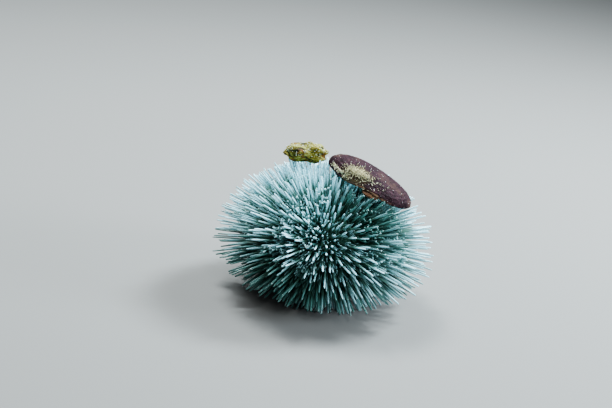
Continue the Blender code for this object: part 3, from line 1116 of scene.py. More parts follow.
@dataclass(frozen=True)
class Spot:
    """A soft spot on the test: its place, and its reach down the meridian and round the axis."""

    distance: float
    azimuth: float
    reach: float
    turn_reach: float

    def near(self, distance: float, azimuth: float) -> float:
        """Tells how near a place is to the spot.

        Args:
            distance: How far down the meridian it is.
            azimuth: Its azimuth.

        Returns:
            The nearness, from 0 far off to 1 on the spot.
        """
        turn = (azimuth - self.azimuth + 180.0) % 360.0 - 180.0
        return math.exp(-(((distance - self.distance) / self.reach) ** 2) - (turn / self.turn_reach) ** 2)


@dataclass(frozen=True)
class Shade:
    """How far the colours of one kind are darkened: at least, by painted shade that grows as the root sits
    lower, and by chance.
    """

    least: float
    depth: float
    chance: float


@dataclass(frozen=True)
class Growth:
    """One kind of small thing on the test.

    Rings and sides give its form. The curl of its tip, the spread of its length and what it loses
    below the ambitus are shares of its length.
    """

    rings: Rings
    sides: int
    zones: tuple[Zone, ...]
    spacing: float
    length: float
    radius: float
    lean: float
    curl: float
    spread: float
    lower_loss: float = 0.0


@dataclass
class Coat:
    """Everything that grows on the test: spines of two sizes, tube feet and pedicellariae."""

    meridian: Meridian
    axis: Vector
    covers: list[Cover]
    draw: np.random.Generator

    # The primary spines, in even rows
    spine_rings: Rings = (
        (0.0, 1.75), (0.024, 1.25), (0.046, 1.42), (0.066, 1.0),
        (0.62, 0.98), (0.92, 0.86), (0.988, 0.66), (1.0, 0.30),
    )
    spine_sides: int = 7
    spine_length: float = 0.0275
    spine_radius: float = 0.00052
    standing_radius: float = 0.00062
    radius_range: Pair = (0.90, 1.1)
    length_variation: float = 0.13
    least_slimness: float = 4.0
    root_depth: float = 0.0004
    spine_spacing: float = 0.0039
    side_room: float = 0.0011
    stagger: float = 0.22
    stray: float = 0.10
    lean: float = 6.0
    lean_spread: float = 2.0
    parting: float = 8.0
    parting_reach: float = 7.0

    # The primary spines that fill the room between the rows
    between_share: float = 0.42
    between_length: float = 0.86
    between_spread: float = 0.22
    between_stray: float = 1.5
    between_row_stray: float = 0.15
    pores_kept: float = 0.12
    crown_share: float = 4.6
    crown_reach: float = 0.024
    held_share: float = 9.0
    held_at: Spot = Spot(0.024, 135.0, 0.013, 34.0)
    bare_at: Spot = Spot(0.022, -62.0, 0.011, 27.0)
    lower_bare: float = 0.55
    lower_from: float = 0.048
    lower_to: float = 0.068

    # The small things
    secondary_spine: Growth = Growth(
        rings=((0.0, 1.7), (0.08, 1.0), (0.93, 0.80), (1.0, 0.35)),
        sides=5,
        zones=tuple(Zone),
        spacing=0.00172,
        length=0.0135,
        radius=0.00032,
        lean=9.0,
        curl=0.0,
        spread=0.3,
    )
    tube_foot: Growth = Growth(
        rings=(
            (0.0, 1.3), (0.25, 0.9), (0.50, 0.8), (0.75, 0.8),
            (0.945, 1.0), (0.965, 2.1), (0.990, 2.2), (1.0, 1.0),
        ),
        sides=6,
        zones=(Zone.LEFT_PORES, Zone.RIGHT_PORES),
        spacing=0.00154,
        length=0.0170,
        radius=0.00022,
        lean=7.0,
        curl=0.10,
        spread=0.30,
        lower_loss=0.72,
    )
    pedicellaria: Growth = Growth(
        rings=((0.0, 1.0), (0.70, 0.7), (0.78, 2.0), (0.90, 2.6), (0.98, 1.4), (1.0, 0.3)),
        sides=6,
        zones=tuple(Zone),
        spacing=0.0050,
        length=0.0075,
        radius=0.00016,
        lean=14.0,
        curl=0.10,
        spread=0.35,
    )
    end_room: float = 0.6
    count_range: Pair = (0.15, 0.85)
    row_shift: float = 0.25
    small_stray: float = 0.35
    small_lean_spread: float = 1.4
    small_room: float = 3.0
    small_slimness: float = 6.0
    loss_from: float = -0.15
    loss_to: float = 0.20
    bare_share: float = 0.5

    # The stance of all that grows
    radial_share: float = 0.70
    pole_rise: float = 0.0030
    upper_share: float = 0.76
    lower_share: float = 0.62
    standing_normal: float = -0.35
    standing_splay: float = 0.16
    standing_reach: float = 0.0035
    floor_clearance: float = 0.0012

    # Painted shade and light in the colours: darker for low roots and in the shaded spots, lighter in the lit
    # spot
    primary_shade: Shade = Shade(0.08, 0.80, 0.24)
    small_shade: Shade = Shade(0.28, 0.60, 0.18)
    shade_low: float = 0.014
    shade_high: float = 0.044
    # Painted shadow in front of and under the worn shell, and on the lower left side
    shaded_at: tuple[Spot, ...] = (
        Spot(0.030, -45.0, 0.014, 34.0),
        Spot(0.018, -66.0, 0.010, 24.0),
        Spot(0.060, -148.0, 0.017, 62.0),
    )
    shaded_share: float = 0.95
    # Painted light on the middle of the front
    lit_at: Spot = Spot(0.038, -100.0, 0.012, 22.0)
    lit_share: float = 0.35

    def reach(self, room: float) -> Pair:
        """Gives how far down growth starts and ends, with room from the disc and the mouth."""
        top = self.meridian.distance_of(APICAL_RADIUS, upper=True) + room
        return top, self.meridian.distance_of(PERISTOME_RADIUS, upper=False) - room

    def rows(self, spacing: float) -> np.ndarray:
        """Spreads rows of small things down the meridian.

        Args:
            spacing: Room between them.

        Returns:
            The distance of each row from the top.
        """
        top, bottom = self.reach(spacing * self.end_room)
        return np.linspace(top, bottom, max(2, round((bottom - top) / spacing) + 1))

    def spots(self, spacing: float, zones: tuple[Zone, ...]) -> Iterator[tuple[float, float, float]]:
        """Walks over the growing places of one kind.

        Args:
            spacing: Room between them.
            zones: The strips in which it grows.

        Yields:
            (distance down the meridian, azimuth, offset from the ambulacrum's middle).
        """
        jitter = self.small_stray
        for row, distance in enumerate(self.rows(spacing)):
            side = 1 if row % 2 else -1
            for ambulacrum in range(AMBULACRA):
                for zone in zones:
                    offset, width = zone.value
                    across = math.radians(width) * self.meridian.at(distance)[0].x
                    count = int(across / spacing + self.draw.uniform(*self.count_range))
                    for i in range(count):
                        shift = self.row_shift * side + self.draw.uniform(-jitter, jitter)
                        place = offset + ((i + 0.5 + shift) / count - 0.5) * width
                        stray = distance + self.draw.uniform(-jitter, jitter) * spacing
                        yield stray, azimuth_of(ambulacrum, place), place

    def aim(
        self, distance: float, azimuth: float, place: float, parting: float, chance: Vector
    ) -> tuple[Vector, Vector, Vector]:
        """Gives a growing place and the direction of what grows there.

        Args:
            distance: How far down the meridian.
            azimuth: Its azimuth.
            place: Its offset from the ambulacrum's middle.
            parting: How far it leans away from the pore band beside it.
            chance: How far it leans by chance.

        Returns:
            The root, the direction and the normal (radius, height).
        """
        point, normal = self.meridian.at(distance)
        root = polar(point.x, azimuth, point.y)
        radial = (point - Vector((0.0, self.meridian.outline.ambitus + self.pole_rise))).normalized()
        tilt = normal.lerp(radial, self.radial_share).normalized()
        outward = polar(tilt.x, azimuth, tilt.y)
        if normal.y < 0:
            outward += polar(self.standing_splay * -normal.y, azimuth, 0.0)
        bands = (-PORE_BAND, PORE_BAND, RAY_TURN - PORE_BAND)
        band = min((place - b for b in bands), key=abs)
        away = math.copysign(math.exp(-((band / self.parting_reach) ** 2)), band)
        away *= math.tan(math.radians(parting))
        outward += polar(away, azimuth + 90.0, 0.0)
        outward.normalize()
        aside = chance - chance.dot(outward) * outward
        return root, (outward + aside).normalized(), normal

    def length_share(self, normal: Vector) -> float:
        """Gives how long a spine is by its normal, against one at the ambitus."""
        share = self.upper_share if normal.y >= 0 else self.lower_share
        return 1.0 + (share - 1.0) * normal.y**2

    def above_floor(self, root: Vector, direction: Vector, length: float, standing: bool) -> float:
        """Gives the length that the floor leaves.

        Args:
            root: The root.
            direction: The direction.
            length: The length that it would have.
            standing: Whether it may stand on the floor.

        Returns:
            The length.
        """
        if direction.z >= 0:
            return length
        to_floor = root.z / -direction.z
        if standing and to_floor < length + self.standing_reach:
            return to_floor
        return min(length, (root.z - self.floor_clearance) / -direction.z)

    def patch_of(self, distance: float, azimuth: float) -> Pair:
        """Finds a root on the skin's unwrap.

        Args:
            distance: How far down the meridian.
            azimuth: Its azimuth.

        Returns:
            Its place on the unwrap.
        """
        point, _ = self.meridian.at(distance)
        outline = self.meridian.outline
        return (azimuth / 360.0 + 0.5) % 1.0, (point.y - outline.lift) / outline.height

    def spine_rows(self) -> tuple[float, float, int]:
        """Gives where the first and last even rows of spines stand.

        Returns:
            The distance of the first and of the last, and the number of steps between them.
        """
        top, bottom = self.reach(self.spine_spacing / 2)
        return top, bottom, round((bottom - top) / self.spine_spacing)

    def even_places(self) -> Iterator[Place]:
        """Walks over the spines that stand in even rows, sector by sector.

        Yields:
            The place of each.
        """
        draw = random.Random(SEED)
        top, bottom, count = self.spine_rows()
        sectors = [(i, *sector) for i in range(AMBULACRA) for sector in SECTORS]
        for ambulacrum, middle, width in sectors:
            for row in range(count + 1):
                distance = top + (bottom - top) * row / count
                radius = self.meridian.at(distance)[0].x
                across = math.radians(width) * radius
                number = max(1, round(across / self.spine_spacing))
                stagger = self.stagger * (1 if row % 2 else -1) if number > 1 else 0.0
                furthest = max(0.0, across / 2 - self.side_room)
                for i in range(number):
                    share = (i + 0.5 + stagger + draw.uniform(-1, 1) * self.stray) / number - 0.5
                    aside = min(max(share * across, -furthest), furthest)
                    offset = middle + math.degrees(aside / radius)
                    chance = Vector((draw.gauss(0, 1), draw.gauss(0, 1), draw.gauss(0, 1)))
                    yield Place(distance, offset, ambulacrum, chance, draw.uniform(-1, 1), (middle, width))

    def places_between(self) -> Iterator[Place]:
        """Walks over the spines that fill the room between the even rows.

        Yields:
            The place of each.
        """
        top, bottom, count = self.spine_rows()
        sectors = [(i, *sector) for i in range(AMBULACRA) for sector in SECTORS]
        for row in range(count):
            distance = top + (bottom - top) * (row + 0.5) / count
            radius = self.meridian.at(distance)[0].x
            crown = 1.0 - float(smooth_share(distance, self.crown_reach / 3, self.crown_reach))
            lower = self.lower_bare * float(smooth_share(distance, self.lower_from, self.lower_to))
            for ambulacrum, middle, width in sectors:
                held = self.held_at.near(distance, azimuth_of(ambulacrum, middle))
                crowd = self.between_share * (1.0 + self.crown_share * crown + self.held_share * held)
                number = max(1, round(math.radians(width) * radius / self.spine_spacing * crowd))
                for i in range(number):
                    share = (i + self.draw.uniform(-1, 1) * self.stray * self.between_stray) / number - 0.5
                    offset = middle + share * width
                    bands = (PORE_BAND, RAY_TURN - PORE_BAND)
                    beside = min(abs(offset % RAY_TURN - band) for band in bands)
                    if beside < PORE_BAND_WIDTH / 2 and self.draw.random() > self.pores_kept:
                        continue
                    stray = distance + self.draw.normal(0.0, self.between_row_stray) * self.spine_spacing
                    chance = Vector(self.draw.normal(0.0, 1.0, 3))
                    share = self.between_length + self.draw.uniform(-1, 1) * self.between_spread
                    share += (1.0 - share) * max(crown, held)
                    bare = self.bare_at.near(distance, azimuth_of(ambulacrum, offset))
                    if self.draw.random() < max(bare, lower):
                        continue
                    spread = (share - 1.0) / self.length_variation
                    yield Place(stray, offset, ambulacrum, chance, spread)

    def kept_inside(
        self, root: Vector, direction: Vector, length: float, radius: float, place: Place
    ) -> Vector:
        """Turns a spine just enough to keep its tip inside its sector.

        Args:
            root: Its root.
            direction: Its direction.
            length: Its length.
            radius: Its radius.
            place: Its place, which may name a sector.

        Returns:
            The direction.
        """
        if place.sector is None:
            return direction
        tip = root + direction * length
        middle, width = place.sector
        for side in (-1, 1):
            edge = azimuth_of(place.ambulacrum, middle) + side * width / 2
            outward = polar(1.0, edge + side * 90.0, 0.0)
            inside = -GAP / 2 - tip.dot(outward)
            if inside < radius:
                tip -= outward * (radius - inside)
        return (tip - root).normalized()

    def painted_shade_and_tone(self, shade: Shade, root: Vector, distance: float, azimuth: float) -> float:
        """Gives how far the colour of what grows at a place is darkened by painted shade and light and by
        random tone.

        Args:
            shade: How its kind is darkened.
            root: Its root.
            distance: How far down the meridian it is.
            azimuth: Its azimuth.

        Returns:
            The darkening, 0 to 1.
        """
        # Painted shade: the lower the root, the darker, as if out of the light
        depth = 1.0 - smooth_share(root.z, self.shade_low, self.shade_high)
        # Painted shadow in the shaded spots, less in the lit spot, where painted light falls
        shaded = self.shaded_share * max(spot.near(distance, azimuth) for spot in self.shaded_at)
        shaded -= self.lit_share * self.lit_at.near(distance, azimuth)
        shaded = shade.depth * depth + shaded
        return float(np.clip(shade.least + shaded + self.draw.normal(0, shade.chance), 0, 1))

    def primaries(self) -> dict[int, list[Site]]:
        """Places the primary spines.

        Returns:
            The sites of each ambulacrum and the interambulacrum beside it.
        """
        found = {i: [] for i in range(AMBULACRA)}
        for place in (*self.even_places(), *self.places_between()):
            azimuth = azimuth_of(place.ambulacrum, place.offset)
            chance = place.chance * math.tan(math.radians(self.lean)) / self.lean_spread
            root, direction, normal = self.aim(place.distance, azimuth, place.offset, self.parting, chance)
            lower = normal.y < self.standing_normal
            length = self.spine_length * self.length_share(normal)
            length *= 1 + place.spread * self.length_variation
            radius = self.standing_radius if lower else self.spine_radius
            direction = self.kept_inside(root, direction, length, radius, place)
            length = self.above_floor(root, direction, length, lower)
            for cover in self.covers:
                length = cover.room(root + self.axis, direction, length, radius)
            if length < self.least_slimness * radius:
                continue
            radius *= self.draw.uniform(*self.radius_range)
            painted_shade_and_tone = self.painted_shade_and_tone(self.primary_shade, root, place.distance, azimuth)
            sunk = root + self.axis - direction * self.root_depth
            patch = self.patch_of(place.distance, azimuth)
            length += self.root_depth
            found[place.ambulacrum].append(Site(sunk, direction, length, radius, painted_shade_and_tone, patch))
        return found

    def small(self, kind: Growth) -> list[Site]:
        """Places the small things of one kind.

        Args:
            kind: The kind.

        Returns:
            The sites.
        """
        found = []
        radius = kind.radius
        spread = math.tan(math.radians(kind.lean)) / self.small_lean_spread
        for distance, azimuth, place in self.spots(kind.spacing, kind.zones):
            chance = Vector(self.draw.normal(0.0, spread, 3))
            root, direction, normal = self.aim(distance, azimuth, place, 0.0, chance)
            if self.draw.random() < self.bare_at.near(distance, azimuth) * self.bare_share:
                continue
            reach = kind.length * self.length_share(normal)
            reach *= 1 + self.draw.uniform(-1, 1) * kind.spread
            reach *= 1.0 - kind.lower_loss * smooth_share(-normal.y, self.loss_from, self.loss_to)
            bend = Vector(self.draw.normal(0.0, kind.curl * reach, 3))
            reach = self.above_floor(root, direction, reach, False)
            for cover in self.covers:
                room = cover.room(root + self.axis, direction, reach, radius * self.small_room)
                reach = min(reach, room)
            if reach < self.small_slimness * radius:
                continue
            if root.z + direction.z * reach + min(bend.z, 0.0) < 2 * radius:
                bend.z = 0.0
            painted_shade_and_tone = self.painted_shade_and_tone(self.small_shade, root, distance, azimuth)
            sunk = root + self.axis - direction * self.root_depth / 2
            patch = self.patch_of(distance, azimuth)
            found.append(Site(sunk, direction, reach, radius, painted_shade_and_tone, patch, bend))
        return found

    def small_piece(
        self, name: str, kind: Growth, finish: Material, slot: Slot
    ) -> Object:
        """Builds and dresses the small things of one kind.

        Args:
            name: The piece's name.
            kind: The kind.
            finish: Its finish.
            slot: Its material slot.

        Returns:
            The piece.
        """
        form = Form.of(lathe(kind.rings, kind.sides))
        return finish_piece(grow(name, form, self.small(kind), finish, self.draw), slot)

    def build(self) -> list[Object]:
        """Builds every piece of the coat.

        Returns:
            The pieces.
        """
        made = []
        spine = Form.of(lathe(self.spine_rings, self.spine_sides))
        finish = SpineFinish("primary_spine").make()
        for ambulacrum, sites in self.primaries().items():
            piece = grow(f"primary_spines_{ambulacrum + 1}", spine, sites, finish, self.draw)
            LOG.info("%d primary spines", len(sites))
            made.append(finish_piece(piece, Slot.SPINES))
        needle = SpineFinish(
            "secondary_spine",
            root=(0.030, 0.105, 0.076),
            shaft=(0.050, 0.165, 0.124),
            upper=(0.090, 0.240, 0.215),
            tip=(0.34, 0.62, 0.68),
        ).make()
        foot = TubeFootFinish().make()
        pincer = GrainFinish("pedicellaria", (0.50, 0.80, 0.82), (0.030, 0.080, 0.070)).make()
        made.append(self.small_piece("secondary_spines", self.secondary_spine, needle, Slot.SPINES))
        made.append(self.small_piece("tube_feet", self.tube_foot, foot, Slot.BANDS))
        made.append(self.small_piece("pedicellariae", self.pedicellaria, pincer, Slot.SPINES))
        return made


# The apical disc and the mouth


def turned(profile: list[Pair], turns: int) -> BMesh:
    """Turns a closed profile of (radius, height) points once round the axis.

    Args:
        profile: The profile's points, which may start and end on the axis.
        turns: How many steps the turn has.

    Returns:
        The bmesh, closed.
    """
    bm = bmesh.new()
    corners = [bm.verts.new((radius, 0.0, height)) for radius, height in profile]
    ends = list(zip(corners, corners[1:]))
    if profile[0][0] > 0 or profile[-1][0] > 0:
        ends.append((corners[-1], corners[0]))
    spin_once(bm, corners + [bm.edges.new(pair) for pair in ends], turns)
    bmesh.ops.dissolve_degenerate(bm, dist=MERGE / 10, edges=bm.edges)
    bmesh.ops.recalc_face_normals(bm, faces=bm.faces)
    return bm


def fine_profile(points: list[Pair], step: float) -> list[Pair]:
    """Divides the sides of a profile.

    Args:
        points: The profile's points.
        step: The length that no side is to pass.

    Returns:
        The points of the divided profile.
    """
    fine = []
    for (r0, z0), (r1, z1) in zip(points, points[1:]):
        count = max(1, math.ceil(math.hypot(r1 - r0, z1 - z0) / step))
        fine += [(r0 + (r1 - r0) * i / count, z0 + (z1 - z0) * i / count) for i in range(count)]
    return fine + [points[-1]]


@dataclass
class ApicalDisc:
    """The disc at the top: genital and ocular plates round the plated periproct."""

    meridian: Meridian
    axis: Vector
    covers: list[Cover]
    draw: np.random.Generator

    # The ring of plates, one of its genital plates larger than the others
    radius: float = APICAL_RADIUS
    inner: float = 0.0024
    depth: float = 0.0040
    step: float = 0.0006
    turns: int = 90
    plate_height: float = 0.0005
    plate_taper: float = 0.78
    plate_bevel: float = 0.12
    large_genital: float = 0.0018
    genital: float = 0.0015
    ocular: float = 0.0008
    ocular_place: float = 0.80
    ocular_sink: float = 0.0001

    # Its spines
    spine_rings: Rings = (
        (0.0, 1.5), (0.06, 1.3), (0.10, 1.0),
        (0.60, 0.95), (0.95, 0.70), (1.0, 0.25),
    )
    spine_sides: int = 7
    spine_sink: float = 0.0003
    turn_stray: float = 0.4
    short_spines: int = 36
    short_length: float = 0.0075
    short_radius: float = 0.00042
    short_place: Pair = (0.62, 0.92)
    short_splay: Pair = (0.15, 0.35)
    short_range: Pair = (0.35, 1.0)
    thin_range: Pair = (0.6, 1.0)
    short_tint: float = 0.3
    long_spines: int = 34
    long_length: float = 0.0208
    long_radius: float = 0.00056
    long_place: Pair = (0.45, 0.95)
    long_splay: float = 0.40
    long_lean: float = 0.05
    long_range: Pair = (0.8, 1.06)
    long_tint: float = 0.2

    # The dome of the periproct and its small loose plates
    dome_rise: float = 0.0009
    dome_relief: float = 0.00012
    dome_cells: float = 1600.0
    dome_step: float = 0.0003
    dome_turns: int = 60
    loose_plates: int = 22
    loose_size: float = 0.00034
    loose_turn: float = 137.5
    loose_sink: float = 0.0006
    shoulder: float = 0.62

    def plate(self, bm: BMesh, place: Vector, size: float, turn: float) -> None:
        """Adds one raised six-sided plate to a bmesh.

        Args:
            bm: The bmesh.
            place: The plate's middle.
            size: Its radius.
            turn: Its turn.
        """
        matrix = Matrix.Translation(place) @ Matrix.Rotation(math.radians(turn), 4, "Z")
        sizes = {"radius1": size, "radius2": size * self.plate_taper, "depth": self.plate_height * 3}
        made = bmesh.ops.create_cone(bm, cap_ends=True, segments=6, matrix=matrix, **sizes)
        ring = list({edge for vertex in made["verts"] for edge in vertex.link_edges})
        width = size * self.plate_bevel
        bmesh.ops.bevel(bm, geom=ring, offset=width, segments=2, affect="EDGES", profile=0.5, material=-1)

    def build(self) -> list[Object]:
        """Builds the disc, its spines and the periproct.

        Returns:
            The pieces.
        """
        rim, _ = self.meridian.at(self.meridian.distance_of(self.radius, upper=True))
        top = self.meridian.outline.top
        floor = rim.y - self.depth + GAP
        inner = self.inner + GAP
        middle = (self.radius + inner) / 2
        ridge = (middle, (rim.y + top) / 2 + GAP / 2)
        profile = [(inner, top), ridge, (self.radius, rim.y), (self.radius, floor), (inner, floor)]
        bm = turned(fine_profile(profile, self.step), self.turns)
        for i in range(AMBULACRA):
            azimuth = azimuth_of(i, BETWEEN_TURN)
            size = self.large_genital if i == 0 else self.genital
            self.plate(bm, polar(middle, azimuth, top - self.plate_height / 2), size, azimuth)
            beside = polar(self.radius * self.ocular_place, azimuth + BETWEEN_TURN, rim.y - self.ocular_sink)
            self.plate(bm, beside, self.ocular, azimuth)
        bmesh.ops.translate(bm, verts=bm.verts, vec=self.axis)
        plates = object_from(bm, "apical_plates", PlateFinish().make())
        disc = finish_piece(plates, Slot.DISC, ("apical_disc",), smooth=False)
        return [disc, self.spines(rim.y - self.spine_sink), self.periproct(floor, top)]

    def spines(self, height: float) -> Object:
        """Builds the disc's short and long spines.

        Args:
            height: The height of their roots.

        Returns:
            The piece.
        """
        sites = []
        stray = self.turn_stray
        for i in range(self.short_spines):
            azimuth = (i + self.draw.uniform(-stray, stray)) * 360.0 / self.short_spines
            root = polar(self.radius * self.draw.uniform(*self.short_place), azimuth, height) + self.axis
            direction = polar(self.draw.uniform(*self.short_splay), azimuth, 1.0).normalized()
            length = self.short_length * self.draw.uniform(*self.short_range)
            radius = self.short_radius * self.draw.uniform(*self.thin_range)
            patch = (i / self.short_spines, 0.99)
            sites.append(Site(root, direction, length, radius, self.short_tint, patch))
        for i in range(self.long_spines):
            azimuth = (i + self.draw.uniform(-stray, stray)) * 360.0 / self.long_spines
            out = self.draw.uniform(*self.long_place)
            root = polar(self.radius * out, azimuth, height) + self.axis
            lean = Vector(self.draw.normal(0.0, self.long_lean, 3))
            direction = (polar(self.long_splay * out, azimuth, 1.0) + lean).normalized()
            length = self.long_length * self.draw.uniform(*self.long_range)
            for cover in self.covers:
                length = cover.room(root, direction, length, self.long_radius)
            patch = (i / self.long_spines, 0.98)
            sites.append(Site(root, direction, length, self.long_radius, self.long_tint, patch))
        form = Form.of(lathe(self.spine_rings, self.spine_sides))
        made = grow("apical_spines", form, sites, SpineFinish("apical_spine").make(), self.draw)
        return finish_piece(made, Slot.DISC)

    def periproct(self, floor: float, top: float) -> Object:
        """Builds the low dome inside the disc, with its small loose plates.

        Args:
            floor: The height of its underside.
            top: The height of its edge.

        Returns:
            The piece.
        """
        rise = self.dome_rise
        profile = [
            (0.0, top + rise * 0.45),
            (self.inner * 0.28, top + rise * 0.9),
            (self.inner * self.shoulder, top + rise),
            (self.inner, top),
            (self.inner, floor),
            (0.0, floor),
        ]
        bm = turned(fine_profile(profile, self.dome_step), self.dome_turns)
        for vertex in bm.verts:
            if vertex.co.z > top:
                vertex.co.z -= self.dome_relief * noise.cell(vertex.co * self.dome_cells)
        for i in range(self.loose_plates):
            azimuth, share = i * self.loose_turn, math.sqrt((i + 2.5) / (self.loose_plates + 3))
            fall = max(0.0, share - self.shoulder) * 2.3
            height = top + rise * (0.95 - fall) - self.loose_sink
            self.plate(bm, polar(self.inner * share * 0.9, azimuth, height), self.loose_size, azimuth)
        bmesh.ops.translate(bm, verts=bm.verts, vec=self.axis)
        finish = PlateFinish("periproct_plates", plate=(0.36, 0.36, 0.28)).make()
        dome = object_from(bm, "periproct_dome", finish)
        return finish_piece(dome, Slot.DISC, ("periproct",), smooth=False)


@dataclass
class Mouth:
    """The mouth membrane with its buccal feet, and the five teeth of the lantern."""

    meridian: Meridian
    axis: Vector
    draw: np.random.Generator

    # The membrane
    radius: float = PERISTOME_RADIUS
    mouth: float = 0.0032
    depth: float = 0.0034
    bulge: float = 0.0012
    step: float = 0.0003
    turns: int = 120
    ring_folds: float = 9000.0
    ring_depth: float = 0.00010
    cross_folds: float = 40.0
    cross_depth: float = 0.00006
    fold_lift: float = 0.0001

    # The buccal feet
    foot_rings: Rings = (
        (-0.2, 1.4), (0.2, 1.0), (0.75, 0.9), (0.82, 1.7),
        (0.93, 1.9), (1.0, 1.4), (0.97, 0.6),
    )
    foot_sides: int = 10
    foot_length: float = 0.0028
    foot_radius: float = 0.00035
    foot_place: float = 0.6
    foot_turn: float = 9.0
    foot_splay: float = 0.3
    foot_tint: float = 0.3

    # The teeth, whose keel narrows the inner side
    tooth_width: float = 0.0019
    tooth_thickness: float = 0.0013
    tooth_tip: float = 0.0088
    tooth_offset: float = 0.0015
    tooth_lean: float = 7.0
    tooth_taper: float = 0.6
    tooth_keel: float = 0.45
    tooth_curve: float = 0.0006
    tooth_bevel: float = 0.00008
    tooth_cuts: int = 9
    sharp_angle: float = 0.9

    def build(self) -> list[Object]:
        """Builds the membrane, the buccal feet and the teeth.

        Returns:
            The pieces.
        """
        rim, _ = self.meridian.at(self.meridian.distance_of(self.radius, upper=False))
        membrane = self.membrane(rim.y)
        feet = self.buccal_feet(rim.y - self.bulge * 0.6)
        return [membrane, feet, self.teeth(rim.y + self.depth - 2 * GAP - self.tooth_tip)]

    def membrane(self, height: float) -> Object:
        """Builds the membrane, folded in rings and across them.

        Args:
            height: The height of its edge.

        Returns:
            The piece.
        """
        ceiling = height + self.depth - GAP
        outline = [
            (self.mouth, ceiling),
            (self.radius, ceiling),
            (self.radius, height),
            (self.radius * 0.72, height - self.bulge * 0.6),
            (self.mouth * 1.35, height - self.bulge),
            (self.mouth, height - self.bulge * 0.5),
        ]
        bm = turned(fine_profile(outline + outline[:1], self.step)[:-1], self.turns)
        for vertex in bm.verts:
            reach = math.hypot(vertex.co.x, vertex.co.y)
            if vertex.co.z < height + 0.0002 and reach < self.radius * 0.98:
                turn = math.atan2(vertex.co.y, vertex.co.x)
                rings = math.sin(reach * self.ring_folds + 1.5 * math.sin(turn * 5))
                across = math.sin(turn * self.cross_folds + 3 * math.sin(reach * 2500.0))
                vertex.co.z += rings * self.ring_depth + across * self.cross_depth + self.fold_lift
        bmesh.ops.translate(bm, verts=bm.verts, vec=self.axis)
        made = object_from(bm, "mouth_membrane", MembraneFinish().make())
        return finish_piece(made, Slot.MOUTH, ("peristome",))

    def buccal_feet(self, height: float) -> Object:
        """Builds the ten buccal feet.

        Args:
            height: The height of their roots.

        Returns:
            The piece.
        """
        sites = []
        for i in range(AMBULACRA):
            for side in (-1, 1):
                azimuth = azimuth_of(i, side * self.foot_turn)
                root = polar(self.radius * self.foot_place, azimuth, height) + self.axis
                direction = polar(self.foot_splay, azimuth, -1.0).normalized()
                patch = (azimuth / 360 + 0.5, 0.02)
                sizes = (self.foot_length, self.foot_radius)
                sites.append(Site(root, direction, *sizes, self.foot_tint, patch))
        form = Form.of(lathe(self.foot_rings, self.foot_sides))
        finish = TubeFootFinish("buccal_foot", stalk=(0.40, 0.34, 0.26)).make()
        return finish_piece(grow("buccal_feet", form, sites, finish, self.draw), Slot.MOUTH)

    def teeth(self, length: float) -> Object:
        """Builds the five teeth as curved, keeled blades with a chisel tip.

        Args:
            length: A tooth's length.

        Returns:
            The piece.
        """
        bm = bmesh.new()
        bmesh.ops.create_cube(bm, size=1.0)
        upright = [edge for edge in bm.edges if abs(edge.verts[0].co.z - edge.verts[1].co.z) > 0.5]
        bmesh.ops.subdivide_edges(bm, edges=upright, cuts=self.tooth_cuts, use_grid_fill=True)
        for vertex in bm.verts:
            down = 0.5 - vertex.co.z
            taper = 1.0 - self.tooth_taper * down**1.5
            keel = self.tooth_keel if vertex.co.x < 0 else 1.0
            curve = self.tooth_curve * (down - down * down)
            vertex.co.x = vertex.co.x * self.tooth_thickness * taper + curve
            vertex.co.y *= self.tooth_width * taper * keel
            vertex.co.z *= length
        sharp = [edge for edge in bm.edges if edge.calc_face_angle(0.0) > self.sharp_angle]
        width = self.tooth_bevel
        bmesh.ops.bevel(bm, geom=sharp, offset=width, segments=2, affect="EDGES", profile=0.5, material=-1)
        lean = Matrix.Rotation(math.radians(self.tooth_lean), 4, "Y")
        place = Matrix.Translation((self.tooth_offset, 0, self.tooth_tip + length / 2))
        turn = Matrix.Rotation(math.radians(azimuth_of(0, BETWEEN_TURN)), 4, "Z")
        bmesh.ops.transform(bm, matrix=turn @ place @ lean, verts=bm.verts)
        every = [*bm.verts, *bm.edges, *bm.faces]
        more = AMBULACRA - 1
        angle = math.tau / AMBULACRA * more
        bmesh.ops.spin(bm, geom=every, angle=angle, steps=more, use_duplicate=True, **ROUND)
        bmesh.ops.translate(bm, verts=bm.verts, vec=self.axis)
        teeth = object_from(bm, "lantern_teeth", ToothFinish().make())
        nodes = tuple(f"tooth_{i}" for i in range(1, AMBULACRA + 1))
        return finish_piece(teeth, Slot.TOOTH, nodes)


# What the animal wears


